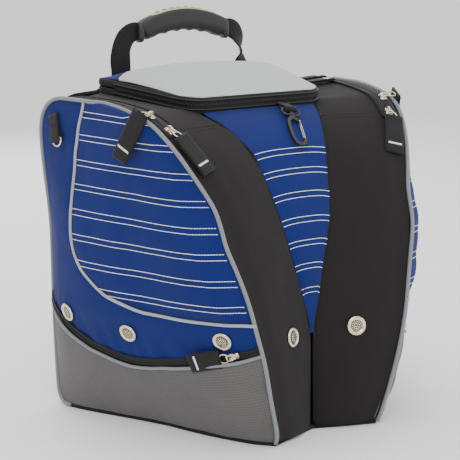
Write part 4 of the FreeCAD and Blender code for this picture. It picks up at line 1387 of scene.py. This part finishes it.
spine = [(12.2, 0), (15.2, -1.5), (17.6, -4.6), (21, -7.0), (26, -7.8), (33, -7.9), (40, -7.9), (47, -7.8),
         (53, -6.6), (57.4, -3.6), (59.4, 0.2), (58.4, 4.0), (55.4, 6.9), (52.0, 7.9), (50.6, 8.0)]
body = Build().tube([hook_at(a, c) for a, c in spine], 2.7, 12, 1.0, hook_n,
                    taper=lambda t: lerp(1.25, 0.95,
                                         smooth(t * 3)) * (1.0 + 0.12 * math.exp(-((t - 1) / 0.06) ** 2)))
body.tube([hook_at(a, c) for a, c in ((13.0, -2), (15.0, 1.0), (17.4, 4.4), (19.6, 7.2))], 2.5, 10, 1.0,
          hook_n)
body.lathe(hook_at(6.4, 0), hook_down, [(1.6, 0), (2.7, 0.3), (2.7, 1.8), (1.4, 2.0)], 14)
place(body.object("hook_body_spine", PLASTIC), "hook", "black_plastic", "hook_body")
wire = [hook_at(20.5, 7.8, -1.5), hook_at(30, 7.9, -1.5), hook_at(40, 7.9, -1.4), hook_at(47.6, 7.8, -1.2),
        hook_at(48.8, 7.8, 0), hook_at(47.6, 7.8, 1.2), hook_at(40, 7.9, 1.4), hook_at(30, 7.9, 1.5),
        hook_at(20.5, 7.8, 1.5)]
gate = Build().tube(wire, 0.8, 8)
gate.tube([hook_at(20.4, 7.8, -2.4), hook_at(20.4, 7.8, 2.4)], 1.1, 8)
place(gate.object("hook_gate_wire", STEEL), "hook_gate", "nickel", "hook_gate")


# ---- carry handle ------------------------------------------------------------------------------------

HANDLE_MIDDLE_Y = 161.5
GRIP_END = 64.0


def grip_axis(x):
    drop = (x / GRIP_END) ** 2
    return 482.5 - 13.5 * drop, 14.5 - 1.5 * drop


rows = []
steps = 96
for k in range(steps + 1):
    x = -GRIP_END + 2 * GRIP_END * k / steps
    z, half = grip_axis(x)
    end = math.sqrt(max(0.0, 1 - max(0.0, (abs(x) - 58.0) / 6.2) ** 2)) * 0.35 + 0.65
    slope = math.atan(-2 * 13.5 * x / GRIP_END ** 2)
    ring = []
    for m in range(40):
        a = 2 * math.pi * m / 40
        c, s = math.cos(a), math.sin(a)
        ry = 11.6 * end * math.copysign(abs(c) ** 0.85, c)
        rz = half * end * math.copysign(abs(s) ** 0.85, s)
        if s < 0 and abs(x) < 52:
            rz *= 1 - 0.14 * abs(math.sin(math.pi * (x + 52) / 20.8)) ** 0.7 * -s + 0.07
        groove = 0.9 * math.exp(-((rz - 3.5) / 1.1) ** 2)
        ry -= math.copysign(groove, ry) if abs(ry) > 6 else 0
        ring.append(V((x - math.sin(slope) * rz, HANDLE_MIDDLE_Y + ry, z + math.cos(slope) * rz)))
    rows.append(ring)
grip = Build().rows(rows, closed=True, caps=True, flip=True).object("grip_rubber", RUBBER)
place(grip, "handle", "black_rubber", "handle_grip")

def inlay_place(x, lift):
    """Place over the grip's inlay and its normal."""
    z, half = grip_axis(x)
    return V((x, HANDLE_MIDDLE_Y, z + half + lift)), V((0, 0, 1))


inlay = Build()
line = [inlay_place(-49.0 + 98.0 * k / 40, -0.1)[0] for k in range(41)]
inlay_widths = [lerp(5.0, 11.5, min(1.0, (1 - abs(k / 20.0 - 1)) * 5) ** 0.5) for k in range(41)]
inlay.strap(line, inlay_place(0, 0)[1], inlay_widths, 2.4)
place(inlay.object("grip_inlay", OLIVE), "handle", "olive_rubber", "grip_insert")
ovals = Build()
for k in range(8):
    x = -38.5 + 77.0 * k / 7
    slope = math.atan(-2 * 13.5 * x / GRIP_END ** 2)
    centre, n = inlay_place(x, 1.25)
    along = V((math.cos(slope), 0, math.sin(slope)))
    across = n.cross(along).normalized()
    rows = []
    for scale, high in ((1.0, -0.6), (1.0, 0.25), (0.8, 0.4), (0.1, 0.35)):
        rows.append([centre + n * high + along * (2.6 * scale * math.cos(a)) + across
                     * (3.8 * scale * math.sin(a))
                     for a in (2 * math.pi * m / 16 for m in range(16))])
    ovals.rows(rows, closed=True, caps=True)
place(ovals.object("grip_ovals", RUBBER), "handle", "black_rubber")

for side, sign in SIDES:
    collar = Build()
    rows = []
    for x, grow in ((61.0, 0.72), (62.0, 0.96), (64.5, 1.03), (67.6, 1.0), (69.6, 0.86), (70.2, 0.6)):
        z, half = grip_axis(min(x, 66.0))
        ring = []
        for m in range(28):
            a = 2 * math.pi * m / 28
            c, s = math.cos(a), math.sin(a)
            ring.append(V((x * sign, HANDLE_MIDDLE_Y + 8.6 * grow * math.copysign(abs(c) ** 0.6, c),
                           z + 13.4 * grow * math.copysign(abs(s) ** 0.6, s))))
        rows.append(ring)
    collar.rows(rows, closed=True, caps=True, flip=sign > 0)
    place(collar.object(side + "_grip_collar", PLASTIC), "handle", "black_plastic",
          *(["grip_collars"] if sign > 0 else []))
    twist = 60.0 if sign > 0 else 8.0
    points, normals, widths = [], [], []
    for x, z, width, turn in ((94, 388, 28, 0), (94, 400, 28, 0), (94, 412, 28, 0), (94, 422, 28, 0.3),
                              (94.5, 430, 28, 0.65),
                              (94.5, 438, 27, 1.0), (93.5, 446, 26, 0.75), (91, 454, 26, 0.5),
                              (86.5, 461.5, 26, 0.35),
                              (80.5, 466.5, 25, 0.2), (74, 469, 24, 0.1), (67, 469.5, 22, 0.0)):
        y = HANDLE_MIDDLE_Y + (0.4 if z > 424 else 0.2)
        a = math.radians(twist * turn)
        points.append(V((x * sign, y, z)))
        normals.append(V((-math.sin(a) * sign, math.cos(a), 0)))
        widths.append(width)
    fine_p, fine_n, fine_w = [], [], []
    table = [(i, *p, *n, w) for i, (p, n, w) in enumerate(zip(points, normals, widths))]
    for i in range(56):
        v = curve(table, i * (len(table) - 1) / 55.0)
        fine_p.append(V(v[0:3]))
        fine_n.append(V(v[3:6]))
        fine_w.append(v[6])
    leg = Build().strap(fine_p, fine_n, fine_w, 2.4, 0.5).object(side + "_handle_web", WEB)
    if sign > 0:
        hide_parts("handle_strap", "handle_anchor")
    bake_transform(leg)
    seam = Build()
    for a, b in (((84, 390), (104, 390)), ((104, 390), (104, 408)), ((104, 408), (84, 408)),
                 ((84, 408), (84, 390)),
                 ((84, 390), (104, 408)), ((104, 390), (84, 408))):
        p, q = (V((k[0] * sign, HANDLE_MIDDLE_Y + 1.9, k[1])) for k in (a, b))
        stitch_run(seam, straight_places(p, q, V((0, 1, 0))), length=2.2, gap=1.0, width=0.7)
    place(seam.object(side + "_handle_seam", DARK_THREAD), "shell", "black_webbing")


# ---- back pads and shoulder straps -------------------------------------------------------------------

def flat_uv(ob):
    """Cloth coordinates of a piece that faces the wearer."""
    me = ob.data
    layer = me.uv_layers.get("cloth") or me.uv_layers.new(name="cloth")
    for loop in me.loops:
        p = me.vertices[loop.vertex_index].co
        layer.data[loop.index].uv = (p.x, p.z)


def evaluated_mesh(ob):
    graph = bpy.context.evaluated_depsgraph_get()
    return bpy.data.meshes.new_from_object(ob.evaluated_get(graph))


def inflate(ob, voxel, pressure, cap, frames=20):
    """Swell a closed piece as stuffed cloth: voxel remesh, pressure, and a cap on how far a point may move."""
    m = ob.modifiers.new("Remesh", "REMESH")
    m.mode = "VOXEL"
    m.voxel_size = voxel * MM
    me = evaluated_mesh(ob)
    ob.modifiers.remove(m)
    me.materials.clear()
    me.materials.append(ob.data.materials[0])
    ob.data = me
    start = [v.co.copy() for v in me.vertices]
    m = ob.modifiers.new("Cloth", "CLOTH")
    m.settings.quality = 5
    m.settings.use_pressure = True
    m.settings.uniform_pressure_force = pressure
    m.settings.effector_weights.gravity = 0
    scene = bpy.context.scene
    for f in range(1, frames + 1):
        scene.frame_set(f)
    swollen = evaluated_mesh(ob)
    ends = [v.co.copy() for v in swollen.vertices]
    ob.modifiers.remove(m)
    scene.frame_set(1)
    for v, a, b in zip(me.vertices, start, ends):
        d = b - a
        if d.length > cap * MM:
            d = d.normalized() * (cap * MM)
        v.co = a + d
    flat_uv(ob)
    for p in ob.data.polygons:
        p.use_smooth = True
    return ob


def rounded(points, radius, steps=6):
    """Outline with round corners through (a, b) points."""
    out = []
    n = len(points)
    for i, p in enumerate(points):
        prev, nxt = points[i - 1], points[(i + 1) % n]
        pa, pb, pc = V((*prev, 0)), V((*p, 0)), V((*nxt, 0))
        r = min(radius, (pa - pb).length * 0.45, (pc - pb).length * 0.45)
        a, c = pb + (pa - pb).normalized() * r, pb + (pc - pb).normalized() * r
        for k in range(steps + 1):
            t = k / float(steps)
            q = a.lerp(pb, t).lerp(pb.lerp(c, t), t)
            out.append((q.x, q.y))
    return out


PAD_Y = 159.8
pad_outline = rounded([(18, 72), (90, 72), (90, 328), (18, 328)], 24)
for side, sign in SIDES:
    rows = []
    mid = V((54 * sign, 0, 200))
    for y, k in ((0.2, 0.90), (0.4, 0.985), (3.0, 1.0), (6.0, 0.985), (7.6, 0.93), (7.9, 0.6), (7.9, 0.2)):
        rows.append([V((mid.x + (x * sign - mid.x) * k, PAD_Y + y, mid.z + (z - mid.z) * k)) for x,
                     z in pad_outline])
    pad = Build().rows(rows, closed=True, caps=True, flip=sign > 0).object(side + "_back_pad", FOAM)
    inflate(pad, 5.0, 4.0, 4.0)
    for v in pad.data.vertices:
        p = v.co / MM
        if p.y > PAD_Y + 3:
            for z_groove in (136, 200, 264):
                v.co.y -= 2.4 * MM * math.exp(-((p.z - z_groove) / 4.0) ** 2)
        v.co.y = max(v.co.y, (PAD_Y + 0.1) * MM)
    sub(pad)
    place(pad, "shell", "black_cloth", *(["back_pads"] if sign > 0 else []))
    edge = [V((x * sign, PAD_Y + 1.4, z)) for x, z in pad_outline]
    place(Build().tube(edge + edge[:2], 1.7, 8).object(side + "_pad_binding", WEB), "shell", "black_webbing")

STRAP_STATIONS = [(120, 118, 17, 2), (150, 112, 24, 7), (210, 98, 31, 10), (280, 80, 31, 10),
                  (330, 66, 27, 5),
                  (352, 60, 20, 0)]
STRAP_Y = 170.6


def strap_shape(z):
    return curve(STRAP_STATIONS, z)


for side, sign in SIDES:
    rows = []
    for k in range(41):
        z = lerp(120, 352, k / 40.0)
        x, half, bow = strap_shape(z)
        taper = min(1.0, 0.82 + 0.18 * min(k, 40 - k) / 3.0)
        ring = []
        for a, b in ((-1, 0.3), (-0.96, 0.7), (-0.8, 0.93), (0, 1.0), (0.8, 0.93), (0.96, 0.7), (1, 0.3),
                     (1, -0.2),
                     (0.96, -0.6), (0.8, -0.8), (0, -0.85), (-0.8, -0.8), (-0.96, -0.6), (-1, -0.2)):
            ring.append(V(((x + a * (half - 1.5) * taper) * sign, STRAP_Y + bow + 4.5 + b * 3.4, z)))
        rows.append(ring)
    strap = Build().rows(rows, closed=True, caps=True, flip=sign > 0).object(side + "_strap_pad", BLACK)
    inflate(strap, 4.5, 4.0, 3.0)
    sub(strap)
    place(strap, "shell", "black_cloth", side + "_shoulder_strap")
    edges = Build()
    for e in (-1, 1):
        line = []
        for k in range(41):
            z = lerp(121, 351, k / 40.0)
            x, half, bow = strap_shape(z)
            line.append(V(((x + e * (half - 1.0)) * sign, STRAP_Y + bow + 4.6, z)))
        edges.tube(line, 1.9, 8)
    place(edges.object(side + "_strap_binding", WEB), "shell", "black_webbing")
    runner = []
    for k in range(41):
        z = lerp(124, 366, k / 40.0)
        x, half, bow = strap_shape(min(z, 352))
        runner.append(V((x * sign, STRAP_Y + bow + 11.0 - 9.0 * smooth((z - 345) / 20.0), z)))
    web = Build().strap(runner, V((0, 1, 0)), 24.0, 1.8)
    anchor = [V((60 * sign, 172.0, 350)), V((60 * sign, 168.0, 360)), V((60 * sign, 163.0, 368)),
              V((60 * sign, 160.6, 376))]
    web.strap(anchor, V((0, 1, 0.3)), 28.0, 2.6)
    low_y = STRAP_Y + 2.0
    web.strap([V((118 * sign, low_y + 3.4, 128)), V((118 * sign, low_y + 4.6, 119)),
               V((118 * sign, low_y + 4.4, 110)),
               V((118.6 * sign, low_y + 3.0, 101)), V((125 * sign, low_y + 0.2, 84)),
               V((140 * sign, 168, 64)),
               V((158 * sign, 164, 43)), V((172 * sign, 161.6, 28))], V((0, 1, 0)), 20.0, 1.8)
    web.strap([V((118 * sign, low_y + 5.4, 112)), V((118.5 * sign, low_y + 7.0, 98)),
               V((121 * sign, low_y + 7.2, 80)),
               V((123 * sign, low_y + 5.6, 60))], V((0, 1, 0.05)), 20.0, 1.8)
    place(web.object(side + "_strap_web", WEB), "shell", "black_webbing",
          *(["strap_webbing"] if sign > 0 else []))
    lock = Build()
    y = V((0, 1, 0))
    x_dir, z_dir = V((1, 0, 0)), V((0, 0, 1))
    for z in (100.6, 109.8, 118.2):
        lock.block(V((118 * sign, low_y + 2.6, z)), x_dir, z_dir, y, (29.0, 3.0, 4.4), 0.35)
    for e in (-13.3, 13.3):
        lock.block(V((118 * sign + e, low_y + 2.6, 109)), z_dir, x_dir, y, (20.0, 3.2, 4.6), 0.35)
    place(lock.object(side + "_ladder_lock", PLASTIC), "shell", "black_plastic",
          *(["ladder_buckles"] if sign > 0 else []))


# ---- floor, light and camera -------------------------------------------------------------------------

WORLD_LIGHT = 1.15


def area_light(name, place_at, aim, size, power, colour=(1, 1, 1)):
    light = bpy.data.lights.new(name, "AREA")
    light.shape = "RECTANGLE"
    light.size, light.size_y = size
    light.energy = power
    light.color = colour
    ob = bpy.data.objects.new(name, light)
    ob.location = place_at
    ob.rotation_euler = (V(aim) - V(place_at)).to_track_quat("-Z", "Y").to_euler()
    bpy.context.scene.collection.objects.link(ob)


floor_shader = Shader("pale_floor", (250, 250, 250), 0.7, specular=0.2)
floor_shader.rough(floor_shader.noise(40.0), 0.65, 0.8)
size = 3000.0
floor = Build().rows([[V((-size, -size, 0)), V((size, -size, 0))], [V((-size, size, 0)), V((size, size, 0))]])
floor.object("floor", floor_shader)

world = bpy.data.worlds.new("studio")
world.use_nodes = True
world.node_tree.nodes["Background"].inputs["Color"].default_value = (1, 1, 1, 1)
world.node_tree.nodes["Background"].inputs["Strength"].default_value = WORLD_LIGHT
bpy.context.scene.world = world
area_light("key", (-1.3, -1.9, 1.9), (0, 0, 0.2), (1.2, 1.2), 30)
area_light("fill", (1.9, -1.5, 1.0), (0, 0, 0.2), (1.4, 1.4), 11)
area_light("top", (0.0, 0.4, 2.2), (0, 0, 0.2), (1.2, 1.2), 12)
area_light("back", (0.4, 2.2, 1.2), (0, 0, 0.2), (1.4, 1.4), 22)

AZIMUTH = math.radians(-35.4)
ELEVATION = math.radians(11.4)
DISTANCE = 2.0928
TARGET = V((0, 0.060, 0.200))
away = V((math.sin(AZIMUTH) * math.cos(ELEVATION), -math.cos(AZIMUTH) * math.cos(ELEVATION),
          math.sin(ELEVATION)))
camera_data = bpy.data.cameras.new("camera")
camera_data.lens = 127.6
camera_data.sensor_width = 36.0
camera_data.shift_x = 0.0057
camera_data.shift_y = 0.032
camera = bpy.data.objects.new("camera", camera_data)
camera.location = TARGET + away * DISTANCE
camera.rotation_euler = (-away).to_track_quat("-Z", "Y").to_euler()
bpy.context.scene.collection.objects.link(camera)
bpy.context.scene.camera = camera
